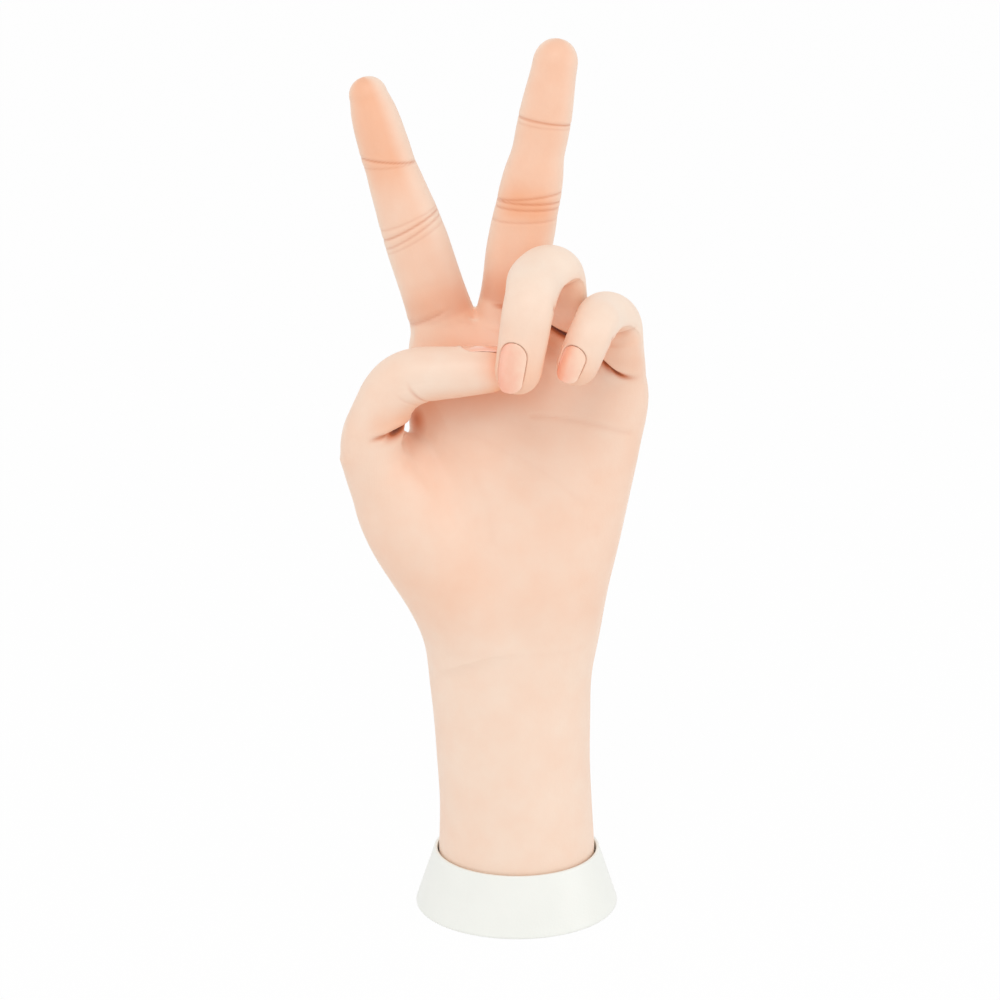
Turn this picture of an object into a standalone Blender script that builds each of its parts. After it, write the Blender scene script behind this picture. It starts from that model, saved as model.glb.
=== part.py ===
"""A jointed nail practice hand: a left hand of soft skin over plastic finger bones, standing in a collar.

World frame: metres, +Z up, the origin under the middle of the base, the palm facing -Y.
Each finger hangs on a chain of empties, one on each hinge, so turning an empty about its own X axis
bends the finger there.
"""

import math

import bmesh
import bpy
from mathutils import Matrix, Vector

# Clearances
TOUCH_GAP = 0.0003          # between pieces that seat against each other
BORE_GAP = 0.0005           # round a bone inside its skin

# Base
BASE_RADIUS = 0.0309        # foot of the collar
COLLAR_TOP_RADIUS = 0.0250
COLLAR_HEIGHT = 0.0178
COLLAR_EDGE = 0.0006        # rounding of the foot and the rim
LEDGE_RADIUS = 0.0205       # hole in the collar's inner ledge
LEDGE_TOP = 0.0062
COLLAR_FOOT_WALL = 0.0029   # round the recess that holds the base plate and the pad
PAD_THICKNESS = 0.0010
PLATE_THICKNESS = 0.0037
BASE_SIDES = 32             # facets round the collar

# Forearm post and palm plate
CORE_RADIUS = 0.0095
CORE_FLANGE_RADIUS = 0.0228  # the post's foot, which clamps the collar's ledge to the base plate
CORE_FLANGE_TOP = 0.0084
CORE_TOP = 0.0820
CORE_BOLT_RADIUS = 0.0025
CORE_BOLT_HEAD_RADIUS = 0.0042
CORE_BOLT_HEAD_HEIGHT = 0.0020
CORE_BOLT_REACH = 0.0180    # thread above the base plate
PALM_PLATE_THICKNESS = 0.0040
PALM_PLATE_Y = 0.0010
PALM_PLATE_EDGE = 0.0050    # half-width of the plate round each stem and at its tail
PALM_PLATE_SCREW_EDGE = 0.0016  # least radius of the plate round the thumb's screw
TAIL_DEPTH = 0.0140         # how far the plate's tail goes down into the post
WRIST_BOLT_RADIUS = 0.0020
STEM_LENGTH = 0.0160        # fork stems that stand on the palm plate
THUMB_LUG_HEIGHT = 0.1010   # where the thumb's base bone is screwed to the plate
THUMB_LUG_X = -0.0060
THUMB_LUG_RADIUS = 0.0042
THUMB_LUG_THICKNESS = 0.0026
SCREW_RADIUS = 0.0010
SCREW_HEAD_RADIUS = 0.0019
SCREW_HEAD_HEIGHT = 0.0012

# Finger bones and hinges
ROD_RADIUS = 0.0021
FORK_RADIUS = 0.0026
TONGUE_THICKNESS = 0.0017
CHEEK_THICKNESS = 0.0010
FORK_REACH = 0.0046         # from the hinge back to where the fork meets its rod
FORK_ROOT = 0.0035          # from the hinge back to the bottom of the fork's slot
TONGUE_REACH = 0.0044
PIN_RADIUS = 0.0009
HINGE_INSET = 0.6           # how far a hinge sits inside the corner of its bent skin
BONE_TIP_GAP = 0.0085       # skin left in front of the last bone
LAST_BONE_TAPER = 0.8       # end radius of the last bone against its rod

# Skin sections
SKIN_SIDES = 16
DEPTH_RATIO = 0.92          # depth of a finger against its width
BEND_BORE_HALF_WIDTH = 0.0046
BEND_BORE_HALF_DEPTH = 0.0036
BEND_BORE_SHARE = 0.5       # the hollow in a thick finger's bend against its skin radius
KNUCKLE_SPLIT_DROP = 0.0095  # the split between palm and knuckle skin, below the pins
ROOT_DEPTH = 0.0120         # how far a finger's root reaches down into the palm
ROOT_OVERLAP = 0.0030       # and up past its bend, before that is cut off again
WEB_CLEARANCE = 0.0009      # round the hard skin of a finger where the web would touch it
TIP_CAP = 1.15              # length of a rounded fingertip against its radius
FAR = 0.2                   # reach of a cutting block past everything
THROUGH = 0.01              # reach of a hole's cutter past its piece

# Thumb muscle and the web beside it: centre line ends, then share of the length and radius
THENAR_START = (-0.0130, -0.0070, 0.0890)
THENAR_FLATNESS = 0.88
THENAR_SWELL = ((0.0, 0.0110), (0.22, 0.0125), (0.45, 0.0134), (0.68, 0.0134), (0.86, 0.0118))
WEB_START = (-0.0270, -0.0040, 0.1200)
WEB_END = (-0.0345, -0.0095, 0.1490)
WEB_SWELL = ((0.0, 0.0095), (0.4, 0.0090), (0.7, 0.0075), (0.9, 0.0050), (1.0, 0.0025))

# Webs between the fingers: heights of the palm's top at its left and right edge, then sections as
# drop below that line, left inset, right inset, front, back and share of the line's slope
WEB_TOP_LEFT = 0.1860
WEB_TOP_RIGHT = 0.1690
WEB_SECTIONS = (
    (0.0135, 0.0002, 0.0004, -0.0128, 0.0130, 0.7),
    (0.0085, 0.0006, 0.0010, -0.0117, 0.0124, 0.9),
    (0.0035, 0.0018, 0.0026, -0.0100, 0.0112, 1.0),
    (0.0000, 0.0040, 0.0060, -0.0074, 0.0088, 1.0),
)
WEB_SQUARENESS = 2.4

# Palm and forearm sections: height, left edge, right edge, front, back, squareness
PALM_SECTIONS = (
    (0.0087, -0.0238, 0.0238, -0.0238, 0.0238, 2.0),
    (0.0200, -0.0235, 0.0234, -0.0233, 0.0233, 2.0),
    (0.0330, -0.0233, 0.0226, -0.0223, 0.0223, 2.0),
    (0.0455, -0.0240, 0.0220, -0.0212, 0.0210, 2.0),
    (0.0600, -0.0250, 0.0220, -0.0200, 0.0192, 2.0),
    (0.0730, -0.0263, 0.0223, -0.0190, 0.0178, 2.1),
    (0.0860, -0.0272, 0.0245, -0.0190, 0.0170, 2.2),
    (0.1000, -0.0285, 0.0268, -0.0198, 0.0166, 2.3),
    (0.1150, -0.0296, 0.0301, -0.0190, 0.0160, 2.4),
    (0.1300, -0.0306, 0.0332, -0.0175, 0.0155, 2.4),
    (0.1450, -0.0314, 0.0362, -0.0155, 0.0148, 2.4),
    (0.1560, -0.0318, 0.0378, -0.0138, 0.0138, 2.4),
)

NAIL_THICKNESS = 0.0011
NAIL_ROUND_BACK = 0.3       # share of a nail's length that rounds off to the cuticle
NAIL_ROUND_FRONT = 0.2      # and to the free edge
NAIL_BACK_WIDTH = 0.45      # width at the cuticle end against the full width
NAIL_FRONT_WIDTH = 0.5
NAIL_STEPS = 6              # facets across a nail


class Digit:
    """A finger or the thumb: its knuckle, its three or two spans, its bends, skin radii and nail.

    Directions are a sideways lean and a forward turn in degrees: 0, 0 points up, forward 90 points
    at the viewer and forward 180 points down.
    """

    def __init__(self, name, knuckle, root_aim, spans, bends, radii,
                 nail_length, nail_back, nail_spread, nail_roll):
        self.name = name
        self.knuckle = Vector(knuckle)
        self.root_aim = aim(*root_aim)
        self.lengths = [length for length, _, _ in spans]
        self.aims = [aim(side, forward) for _, side, forward in spans]
        self.bends = bends
        self.radii = radii
        self.nail_length = nail_length
        self.nail_back = nail_back
        self.nail_spread = nail_spread
        self.nail_roll = nail_roll
        self.corners = [self.knuckle]
        for length, direction in zip(self.lengths, self.aims):
            self.corners.append(self.corners[-1] + direction * length)
        self.tip = self.corners.pop()
        self.find_hinges()

    def find_hinges(self):
        """Hinge axes square to the bend, positive towards the palm, and the pins' places."""
        before = [self.root_aim] + self.aims[:-1]
        self.hinge_axes = []
        self.hinges = []
        for corner, u, v, reach in zip(self.corners, before, self.aims, self.bends):
            turn = u.angle(v)
            bent = turn > math.radians(20.0)
            towards_palm = v if bent else Vector((0.0, -1.0, 0.0))
            axis = u.cross(towards_palm).normalized()
            self.hinge_axes.append(axis)
            inset = reach / math.tan(turn / 2) * (1 / math.cos(turn / 2) - 1) if bent else 0.0
            inward = (v - u).normalized() if bent else Vector()
            self.hinges.append(corner + inward * inset * HINGE_INSET)
        self.side_axis = self.hinge_axes[-1]

    def skin_radius(self, station):
        """Skin radius at a station: 0 at the knuckle, 1 at the next joint, and so on to the tip."""
        points = self.radii
        if station <= points[0][0]:
            return points[0][1]
        for (s0, r0), (s1, r1) in zip(points, points[1:]):
            if station <= s1:
                return r0 + (r1 - r0) * (station - s0) / (s1 - s0)
        return points[-1][1]


def aim(side, forward):
    side = math.radians(side)
    forward = math.radians(forward)
    return Vector((
        math.sin(side),
        -math.cos(side) * math.sin(forward),
        math.cos(side) * math.cos(forward),
    ))


INDEX = Digit(
    "index", knuckle=(-0.0188, 0.0010, 0.1720), root_aim=(-17.6, 1.0),
    spans=((0.0384, -17.6, 1.3), (0.0191, -19.0, 0.6), (0.0267, -16.4, 0.0)),
    bends=(0.0125, 0.0080, 0.0065),
    radii=((0.0, 0.0105), (0.4, 0.0094), (1.0, 0.0091), (1.5, 0.0082), (2.0, 0.0075), (2.3, 0.0072),
           (2.5, 0.0069), (2.65, 0.0064), (2.8, 0.0055), (3.0, 0.0048)),
    nail_length=0.0108, nail_back=0.0128, nail_spread=46.0, nail_roll=0.0,
)
MIDDLE = Digit(
    "middle", knuckle=(-0.0048, 0.0010, 0.1750), root_aim=(10.7, 1.0),
    spans=((0.0404, 10.7, 1.2), (0.0237, 11.2, 0.5), (0.0257, 10.2, 0.0)),
    bends=(0.0120, 0.0080, 0.0068),
    radii=((0.0, 0.0098), (0.3, 0.0086), (0.7, 0.0094), (1.0, 0.0092), (1.4, 0.0086), (1.7, 0.0076),
           (2.0, 0.0078), (2.3, 0.0073), (2.6, 0.0066), (3.0, 0.0063)),
    nail_length=0.0114, nail_back=0.0134, nail_spread=46.0, nail_roll=0.0,
)
RING = Digit(
    "ring", knuckle=(0.0150, 0.0010, 0.1685), root_aim=(9.0, 0.0),
    spans=((0.0362, -6.7, 26.6), (0.0245, -18.0, 101.0), (0.0272, -9.0, 175.5)),
    bends=(0.0110, 0.0078, 0.0070),
    radii=((0.0, 0.0088), (0.4, 0.0078), (0.7, 0.0079), (1.0, 0.0084), (2.0, 0.0074), (2.6, 0.0068),
           (3.0, 0.0064)),
    nail_length=0.0144, nail_back=0.0150, nail_spread=37.0, nail_roll=7.0,
)
LITTLE = Digit(
    "little", knuckle=(0.0303, 0.0005, 0.1610), root_aim=(18.0, 0.0),
    spans=((0.0287, -4.2, 28.5), (0.0202, -19.7, 86.4), (0.0181, -22.5, 172.2)),
    bends=(0.0100, 0.0072, 0.0062),
    radii=((0.0, 0.0080), (0.5, 0.0075), (1.0, 0.0075), (2.0, 0.0064), (2.6, 0.0060), (3.0, 0.0056)),
    nail_length=0.0106, nail_back=0.0109, nail_spread=39.0, nail_roll=9.0,
)
THUMB = Digit(
    "thumb", knuckle=(-0.0440, -0.0180, 0.1470), root_aim=(-28.0, 13.0),
    spans=((0.0257, 21.7, 9.7), (0.0333, 82.6, 54.5)),
    bends=(0.0080, 0.0092),
    radii=((0.0, 0.0096), (0.5, 0.0091), (1.0, 0.0085), (1.6, 0.0075), (2.0, 0.0063)),
    nail_length=0.0134, nail_back=0.0146, nail_spread=48.0, nail_roll=-34.0,
)
FINGERS = (INDEX, MIDDLE, RING, LITTLE)
DIGITS = FINGERS + (THUMB,)
SPAN_NAMES = {3: ("proximal", "middle", "distal"), 2: ("proximal", "distal")}
JOINT_NAMES = {3: ("knuckle", "middle", "tip"), 2: ("knuckle", "tip")}


def clear_scene():
    for thing in list(bpy.data.objects):
        bpy.data.objects.remove(thing, do_unlink=True)


def make_material(name, colour, roughness, metallic=0.0):
    material = bpy.data.materials.new(name)
    material.use_nodes = True
    shader = material.node_tree.nodes["Principled BSDF"]
    shader.inputs["Base Color"].default_value = (*colour, 1.0)
    shader.inputs["Roughness"].default_value = roughness
    shader.inputs["Metallic"].default_value = metallic
    material.diffuse_color = (*colour, 1.0)
    return material


def make_object(name, bm, material=None):
    bmesh.ops.recalc_face_normals(bm, faces=bm.faces)
    mesh = bpy.data.meshes.new(name)
    bm.to_mesh(mesh)
    bm.free()
    thing = bpy.data.objects.new(name, mesh)
    bpy.context.scene.collection.objects.link(thing)
    if material:
        mesh.materials.append(material)
    return thing


def finish(thing, parent=None):
    """Shade a finished piece and hang it on its joint, with its origin on that joint."""
    mesh = thing.data
    mesh.shade_smooth()
    mesh.set_sharp_from_angle(angle=math.radians(35.0))
    if parent:
        place = parent.matrix_world.translation
        mesh.transform(Matrix.Translation(-place))
        mesh.transform(parent.matrix_world.to_3x3().inverted().to_4x4())
        thing.parent = parent
    return thing


def combine(thing, tools, operation):
    """Join or cut a piece with other solids, which are used up."""
    for tool in tools:
        step = thing.modifiers.new(operation, "BOOLEAN")
        step.operation = operation
        step.solver = "EXACT"
        step.object = tool
    bpy.context.view_layer.update()
    graph = bpy.context.evaluated_depsgraph_get()
    mesh = bpy.data.meshes.new_from_object(thing.evaluated_get(graph))
    thing.modifiers.clear()
    old = thing.data
    thing.data = mesh
    mesh.name = old.name
    bpy.data.meshes.remove(old)
    for tool in tools:
        bpy.data.objects.remove(tool, do_unlink=True)
    return thing


def frame_on(point, z_axis, x_axis):
    """A frame at a point, its Z along z_axis and its X as near x_axis as that allows."""
    z = z_axis.normalized()
    x = (x_axis - z * x_axis.dot(z)).normalized()
    y = z.cross(x)
    return Matrix((
        (x.x, y.x, z.x, point.x),
        (x.y, y.y, z.y, point.y),
        (x.z, y.z, z.z, point.z),
        (0.0, 0.0, 0.0, 1.0),
    ))


def cylinder(name, start, end, radius, sides=12, end_radius=None):
    """A round bar, or a cone, between two points."""
    length = (end - start).length
    across = Vector((0.0, 1.0, 0.0)) if abs((end - start).normalized().y) < 0.9 else Vector((1.0, 0.0, 0.0))
    bm = bmesh.new()
    bmesh.ops.create_cone(
        bm, cap_ends=True, segments=sides, radius1=radius,
        radius2=radius if end_radius is None else end_radius, depth=length,
        matrix=frame_on((start + end) / 2, end - start, across),
    )
    return make_object(name, bm)


def block(name, frame, low, high):
    """A box between two corners of a frame."""
    low = Vector(low)
    high = Vector(high)
    size = high - low
    bm = bmesh.new()
    scale = Matrix.Diagonal((size.x, size.y, size.z, 1.0))
    bmesh.ops.create_cube(bm, size=1.0, matrix=frame @ Matrix.Translation((low + high) / 2) @ scale)
    return make_object(name, bm)


def turned(name, profile, sides, material=None):
    """A ring or disc turned about Z from a profile of radius and height."""
    bm = bmesh.new()
    verts = [bm.verts.new((radius, 0.0, height)) for radius, height in profile]
    edges = [bm.edges.new((a, b)) for a, b in zip(verts, verts[1:] + verts[:1])]
    bmesh.ops.spin(
        bm, geom=verts + edges, cent=(0.0, 0.0, 0.0), axis=(0.0, 0.0, 1.0),
        angle=math.tau, steps=sides, use_merge=True,
    )
    bmesh.ops.remove_doubles(bm, verts=bm.verts, dist=1e-6)
    return make_object(name, bm, material)


def extrude_ring(bm, verts, points):
    """Extrude a closed loop of vertices to new points, and return the new loop in the same order."""
    order = {vert: i for i, vert in enumerate(verts)}
    loop = [bm.edges.get((a, b)) for a, b in zip(verts, verts[1:] + verts[:1])]
    made = bmesh.ops.extrude_edge_only(bm, edges=loop)
    fresh = [None] * len(verts)
    for vert in (item for item in made["geom"] if isinstance(item, bmesh.types.BMVert)):
        for edge in vert.link_edges:
            other = edge.other_vert(vert)
            if other in order:
                fresh[order[other]] = vert
    for vert, point in zip(fresh, points):
        vert.co = point
    return fresh


def loft(name, rings, material=None, closed=False):
    """A solid through rings of points: capped at both ends, or joined back to the first ring."""
    bm = bmesh.new()
    first = [bm.verts.new(point) for point in rings[0]]
    for a, b in zip(first, first[1:] + first[:1]):
        bm.edges.new((a, b))
    verts = first
    for points in rings[1:]:
        verts = extrude_ring(bm, verts, points)
    if closed:
        verts = extrude_ring(bm, verts, rings[0])
        bmesh.ops.remove_doubles(bm, verts=first + verts, dist=1e-7)
    else:
        bm.faces.new(first)
        bm.faces.new(verts)
    return make_object(name, bm, material)


def oval(centre, tangent, side_axis, half_width, half_depth):
    """A ring of points square to the tangent, its width along side_axis."""
    place = frame_on(centre, tangent, side_axis)
    return [
        place @ Vector((
            half_width * math.cos(turn), half_depth * math.sin(turn), 0.0,
        ))
        for turn in (math.tau * i / SKIN_SIDES for i in range(SKIN_SIDES))
    ]


def bend_stations(digit, joint, count, trim=TOUCH_GAP):
    """Centre, direction, station and bone for rings round the soft bend at a joint."""
    corner = digit.corners[joint]
    u = digit.root_aim if joint == 0 else digit.aims[joint - 1]
    v = digit.aims[joint]
    reach = digit.bends[joint]
    turn = u.angle(v)
    shares = [i / (count - 1) for i in range(count)]
    lengths = [digit.lengths[max(joint - 1, 0)], digit.lengths[joint]]
    rings = []
    for share in shares:
        along = (2 * share - 1) * (reach - trim)
        station = joint + along / (lengths[0] if along < 0 else lengths[1])
        if turn < math.radians(3.0):
            centre = corner + (u if along < 0 else v) * along
            tangent = (u + v).normalized() if abs(along) < reach / 2 else (u if along < 0 else v)
        else:
            inside = (v - u * math.cos(turn)) / math.sin(turn)
            radius = reach / math.tan(turn / 2)
            middle = corner - u * reach + inside * radius
            trimmed = trim / radius
            angle = trimmed + share * (turn - 2 * trimmed)
            centre = middle - inside * radius * math.cos(angle) + u * radius * math.sin(angle)
            tangent = u * math.cos(angle) + inside * math.sin(angle)
        rings.append((centre, tangent, station, joint - 1 if share < 0.5 else joint))
    return rings


def bone_line(digit, bone):
    """Start and end of a bone: -1 is the fork stem in the palm."""
    if bone < 0:
        return stem_foot(digit), digit.hinges[0]
    if bone == len(digit.hinges) - 1:
        return digit.hinges[bone], digit.tip - digit.aims[-1] * BONE_TIP_GAP
    return digit.hinges[bone], digit.hinges[bone + 1]


def stem_foot(digit):
    if digit is THUMB:
        front = PALM_PLATE_Y - PALM_PLATE_THICKNESS / 2 - TOUCH_GAP
        return Vector((THUMB_LUG_X, front - THUMB_LUG_THICKNESS / 2, THUMB_LUG_HEIGHT))
    foot = digit.knuckle - digit.root_aim * STEM_LENGTH
    foot.y = PALM_PLATE_Y
    return foot


def on_bone(digit, bone, centre, tangent):
    """Where a bone's line passes through the plane of a skin ring."""
    start, end = bone_line(digit, bone)
    direction = (end - start).normalized()
    return start + direction * ((centre - start).dot(tangent) / direction.dot(tangent))


def skin_ring(digit, centre, tangent, station, grow=0.0):
    width = digit.skin_radius(station) + grow
    return oval(centre, tangent, digit.side_axis, width, width * DEPTH_RATIO)


def bend_bore(digit, joint, centre, tangent, station, bone):
    """A ring of the hollow in a bend: wide enough for the fork, and wider where the bone turns."""
    radius = digit.skin_radius(station) * BEND_BORE_SHARE
    half_width = max(BEND_BORE_HALF_WIDTH, radius)
    half_depth = max(BEND_BORE_HALF_DEPTH, radius * DEPTH_RATIO)
    point = on_bone(digit, bone, centre, tangent)
    if abs(station - joint) < 0.01:
        before = digit.root_aim if joint == 0 else digit.aims[joint - 1]
        half_turn = before.angle(digit.aims[joint]) / 2
        inward = (FORK_RADIUS + TOUCH_GAP) / math.cos(half_turn) + TOUCH_GAP
        if half_turn > math.radians(10.0):
            inside = (digit.aims[joint] - before).normalized()
            point = point + inside * max(0.0, inward - half_depth) / 2
        half_depth = max(half_depth, (inward + half_depth) / 2)
    return oval(point, tangent, digit.side_axis, half_width, half_depth)


def bend_skin(name, digit, joint, material):
    """The soft sleeve of skin round a joint, hollow for the fork and tongue inside it."""
    stations = bend_stations(digit, joint, 5)
    outer = [skin_ring(digit, c, t, s) for c, t, s, _ in stations]
    inner = [bend_bore(digit, joint, *station) for station in stations]
    return loft(name, outer + inner[::-1], material, closed=True)


def span_skin(name, digit, span, material):
    """The skin of a phalanx between two joints, with a bore for its bone."""
    aim_here = digit.aims[span]
    start = digit.bends[span]
    end = digit.lengths[span] - digit.bends[span + 1]
    outer = []
    inner = []
    bore = ROD_RADIUS + BORE_GAP
    for share in (0.0, 0.5, 1.0):
        along = start + (end - start) * share
        centre = digit.corners[span] + aim_here * along
        outer.append(skin_ring(digit, centre, aim_here, span + along / digit.lengths[span]))
        if share != 0.5:
            point = on_bone(digit, span, centre, aim_here)
            inner.append(oval(point, aim_here, digit.side_axis, bore, bore))
    return loft(name, outer + inner[::-1], material, closed=True)


def nail_band(digit, along, spread, inner, outer):
    """A cross-section of a nail, or of its seat: an arc-shaped strip over the finger's back."""
    place = frame_on(digit.corners[-1] + digit.aims[-1] * along, digit.aims[-1], digit.side_axis)
    shares = [1 - 2 * i / NAIL_STEPS for i in range(NAIL_STEPS + 1)]
    turns = [math.radians(90.0 + digit.nail_roll + spread * share) for share in shares]
    over = [place @ Vector((outer * math.cos(a), DEPTH_RATIO * outer * math.sin(a), 0)) for a in turns]
    under = [place @ Vector((inner * math.cos(a), DEPTH_RATIO * inner * math.sin(a), 0)) for a in turns]
    return over + under[::-1]


def nail_sizes(digit):
    """Back end and front end along the last span, and the nail's outer radius."""
    back = digit.lengths[-1] - digit.nail_back
    station = len(digit.lengths) - 1 + back / digit.lengths[-1]
    return back, back + digit.nail_length, digit.skin_radius(station)


def nail_outline(share):
    """Share of the full width along a nail: round at the cuticle, slightly rounded at the free edge."""
    if share < NAIL_ROUND_BACK:
        return NAIL_BACK_WIDTH + (1 - NAIL_BACK_WIDTH) * math.sqrt(1 - (1 - share / NAIL_ROUND_BACK) ** 2)
    past = max(0.0, share - (1 - NAIL_ROUND_FRONT)) / NAIL_ROUND_FRONT
    return NAIL_FRONT_WIDTH + (1 - NAIL_FRONT_WIDTH) * math.sqrt(max(0.0, 1 - past ** 2))


def make_nail(digit, material):
    back, front, outer = nail_sizes(digit)
    shares = (0.0, 0.06, NAIL_ROUND_BACK / 2, NAIL_ROUND_BACK, 1 - NAIL_ROUND_FRONT, 0.93, 1.0)
    rings = [
        nail_band(digit, back + (front - back) * s, digit.nail_spread * nail_outline(s),
                  outer - NAIL_THICKNESS, outer)
        for s in shares
    ]
    return loft(digit.name + "_nail", rings, material)


def nail_seat(digit):
    """What the nail's place takes out of the fingertip, open to the front so that the nail slides off."""
    back, front, outer = nail_sizes(digit)
    gap_angle = math.degrees(TOUCH_GAP * 1.5 / outer)
    floor = outer - NAIL_THICKNESS - TOUCH_GAP
    above = outer * 1.5
    rings = []
    for s in (0.0, 0.06, NAIL_ROUND_BACK / 2, NAIL_ROUND_BACK):
        along = back - TOUCH_GAP + (front - back) * s
        rings.append(nail_band(digit, along, digit.nail_spread * nail_outline(s) + gap_angle, floor, above))
    past_tip = digit.lengths[-1] + outer
    rings.append(nail_band(digit, past_tip, digit.nail_spread + gap_angle, floor, above))
    return loft("nail_seat", rings)


def tip_skin(name, digit, material):
    """The skin of the last phalanx: round at the tip, hollow for its bone, with a seat for the nail."""
    last = len(digit.lengths) - 1
    direction = digit.aims[last]
    corner = digit.corners[last]
    length = digit.lengths[last]
    end_radius = digit.skin_radius(last + 1)
    cap = end_radius * TIP_CAP
    start = digit.bends[last]
    rings = []
    for share in (0.0, 0.35, 0.7, 1.0):
        along = start + (length - cap - start) * share
        rings.append(skin_ring(digit, corner + direction * along, direction, last + along / length))
    cap_radius = digit.skin_radius(last + (length - cap) / length)
    for turn in (22.0, 42.0, 60.0, 76.0):
        turn = math.radians(turn)
        centre = corner + direction * (length - cap + cap * math.sin(turn))
        radius = cap_radius * math.cos(turn)
        rings.append(oval(centre, direction, digit.side_axis, radius, radius * DEPTH_RATIO))
    skin = loft(name, rings, material)
    bore = ROD_RADIUS + BORE_GAP
    bone_start, bone_end = bone_line(digit, last)
    bone_aim = (bone_end - bone_start).normalized()
    bore_start = on_bone(digit, last, corner + direction * start, direction) - bone_aim * bore
    bore_end = bone_end + bone_aim * BORE_GAP
    return combine(
        skin,
        [cylinder("bore", bore_start, bore_end, bore, 10), nail_seat(digit)],
        "DIFFERENCE",
    )


def eye(name, centre, axis, towards, reach, radius, thickness):
    """A flat lug: a half-round end about a pin, running straight back along towards."""
    along = (towards - axis * towards.dot(axis)).normalized()
    frame = frame_on(centre, axis, along)
    bm = bmesh.new()
    turns = [math.radians(90.0 + 180.0 * i / 6) for i in range(7)]
    outline = [(radius * math.cos(a), radius * math.sin(a)) for a in turns]
    outline += [(reach, -radius), (reach, radius)]
    verts = [bm.verts.new(frame @ Vector((x, y, -thickness / 2))) for x, y in outline]
    face = bm.faces.new(verts)
    made = bmesh.ops.extrude_face_region(bm, geom=[face])
    moved = [item for item in made["geom"] if isinstance(item, bmesh.types.BMVert)]
    bmesh.ops.translate(bm, verts=moved, vec=axis.normalized() * thickness)
    return make_object(name, bm)


def fork_width():
    return TONGUE_THICKNESS + 2 * (TOUCH_GAP + CHEEK_THICKNESS)


def pin_bore(centre, axis):
    reach = axis * fork_width()
    return cylinder("pin_bore", centre - reach, centre + reach, PIN_RADIUS + TOUCH_GAP, 10)


def add_fork(bone, centre, axis, back):
    """Join a fork to a bone: two cheeks about the pin, with the slot that the next tongue turns in."""
    fork = eye("fork", centre, axis, back, FORK_REACH, FORK_RADIUS, fork_width())
    combine(bone, [fork], "UNION")
    along = (back - axis * back.dot(axis)).normalized()
    slot_half = TONGUE_THICKNESS / 2 + TOUCH_GAP
    slot = block("slot", frame_on(centre, axis, along),
                 (-2 * FORK_RADIUS, -2 * FORK_RADIUS, -slot_half), (FORK_ROOT, 2 * FORK_RADIUS, slot_half))
    return combine(bone, [slot, pin_bore(centre, axis)], "DIFFERENCE")


def make_bone(name, digit, span, material):
    """A phalanx: a tongue on its own hinge, a rod, and a fork for the next bone.

    The tongue is bored for the knuckle's pin, and past the knuckle it has pegs that snap into the fork.
    """
    start, end = bone_line(digit, span)
    axis = digit.hinge_axes[span]
    direction = (end - start).normalized()
    last = span == len(digit.lengths) - 1
    rod_end = end if last else end - direction * (FORK_ROOT + TOUCH_GAP)
    bone = cylinder(name, start + direction * (TONGUE_REACH - ROD_RADIUS / 2), rod_end, ROD_RADIUS, 10,
                    ROD_RADIUS * LAST_BONE_TAPER if last else None)
    bone.data.materials.append(material)
    tongue = eye("tongue", start, axis, direction, TONGUE_REACH, FORK_RADIUS, TONGUE_THICKNESS)
    combine(bone, [tongue], "UNION")
    if span == 0:
        combine(bone, [pin_bore(start, axis)], "DIFFERENCE")
    else:
        peg = axis.normalized() * fork_width() / 2
        combine(bone, [cylinder("pegs", start - peg, start + peg, PIN_RADIUS, 10)], "UNION")
    if not last:
        add_fork(bone, end, digit.hinge_axes[span + 1], -direction)
    return bone


def make_pin(name, centre, axis, material):
    """A steel pin through a fork."""
    half = axis.normalized() * fork_width() / 2
    pin = cylinder(name, centre - half, centre + half, PIN_RADIUS, 10)
    pin.data.materials.append(material)
    return pin


def joint_empty(name, place, axis, span_aim, parent):
    """An empty on a hinge, its X along the pin."""
    empty = bpy.data.objects.new(name, None)
    bpy.context.scene.collection.objects.link(empty)
    empty.empty_display_size = 0.01
    frame = frame_on(place, span_aim, axis)
    empty.parent = parent
    empty.matrix_local = (parent.matrix_world.inverted() @ frame) if parent else frame
    bpy.context.view_layer.update()
    return empty


def upright(name, low, high, radius, sides, x=0.0, y=0.0):
    """A round bar that stands on the floor's plane."""
    return cylinder(name, Vector((x, y, low)), Vector((x, y, high)), radius, sides)


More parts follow.
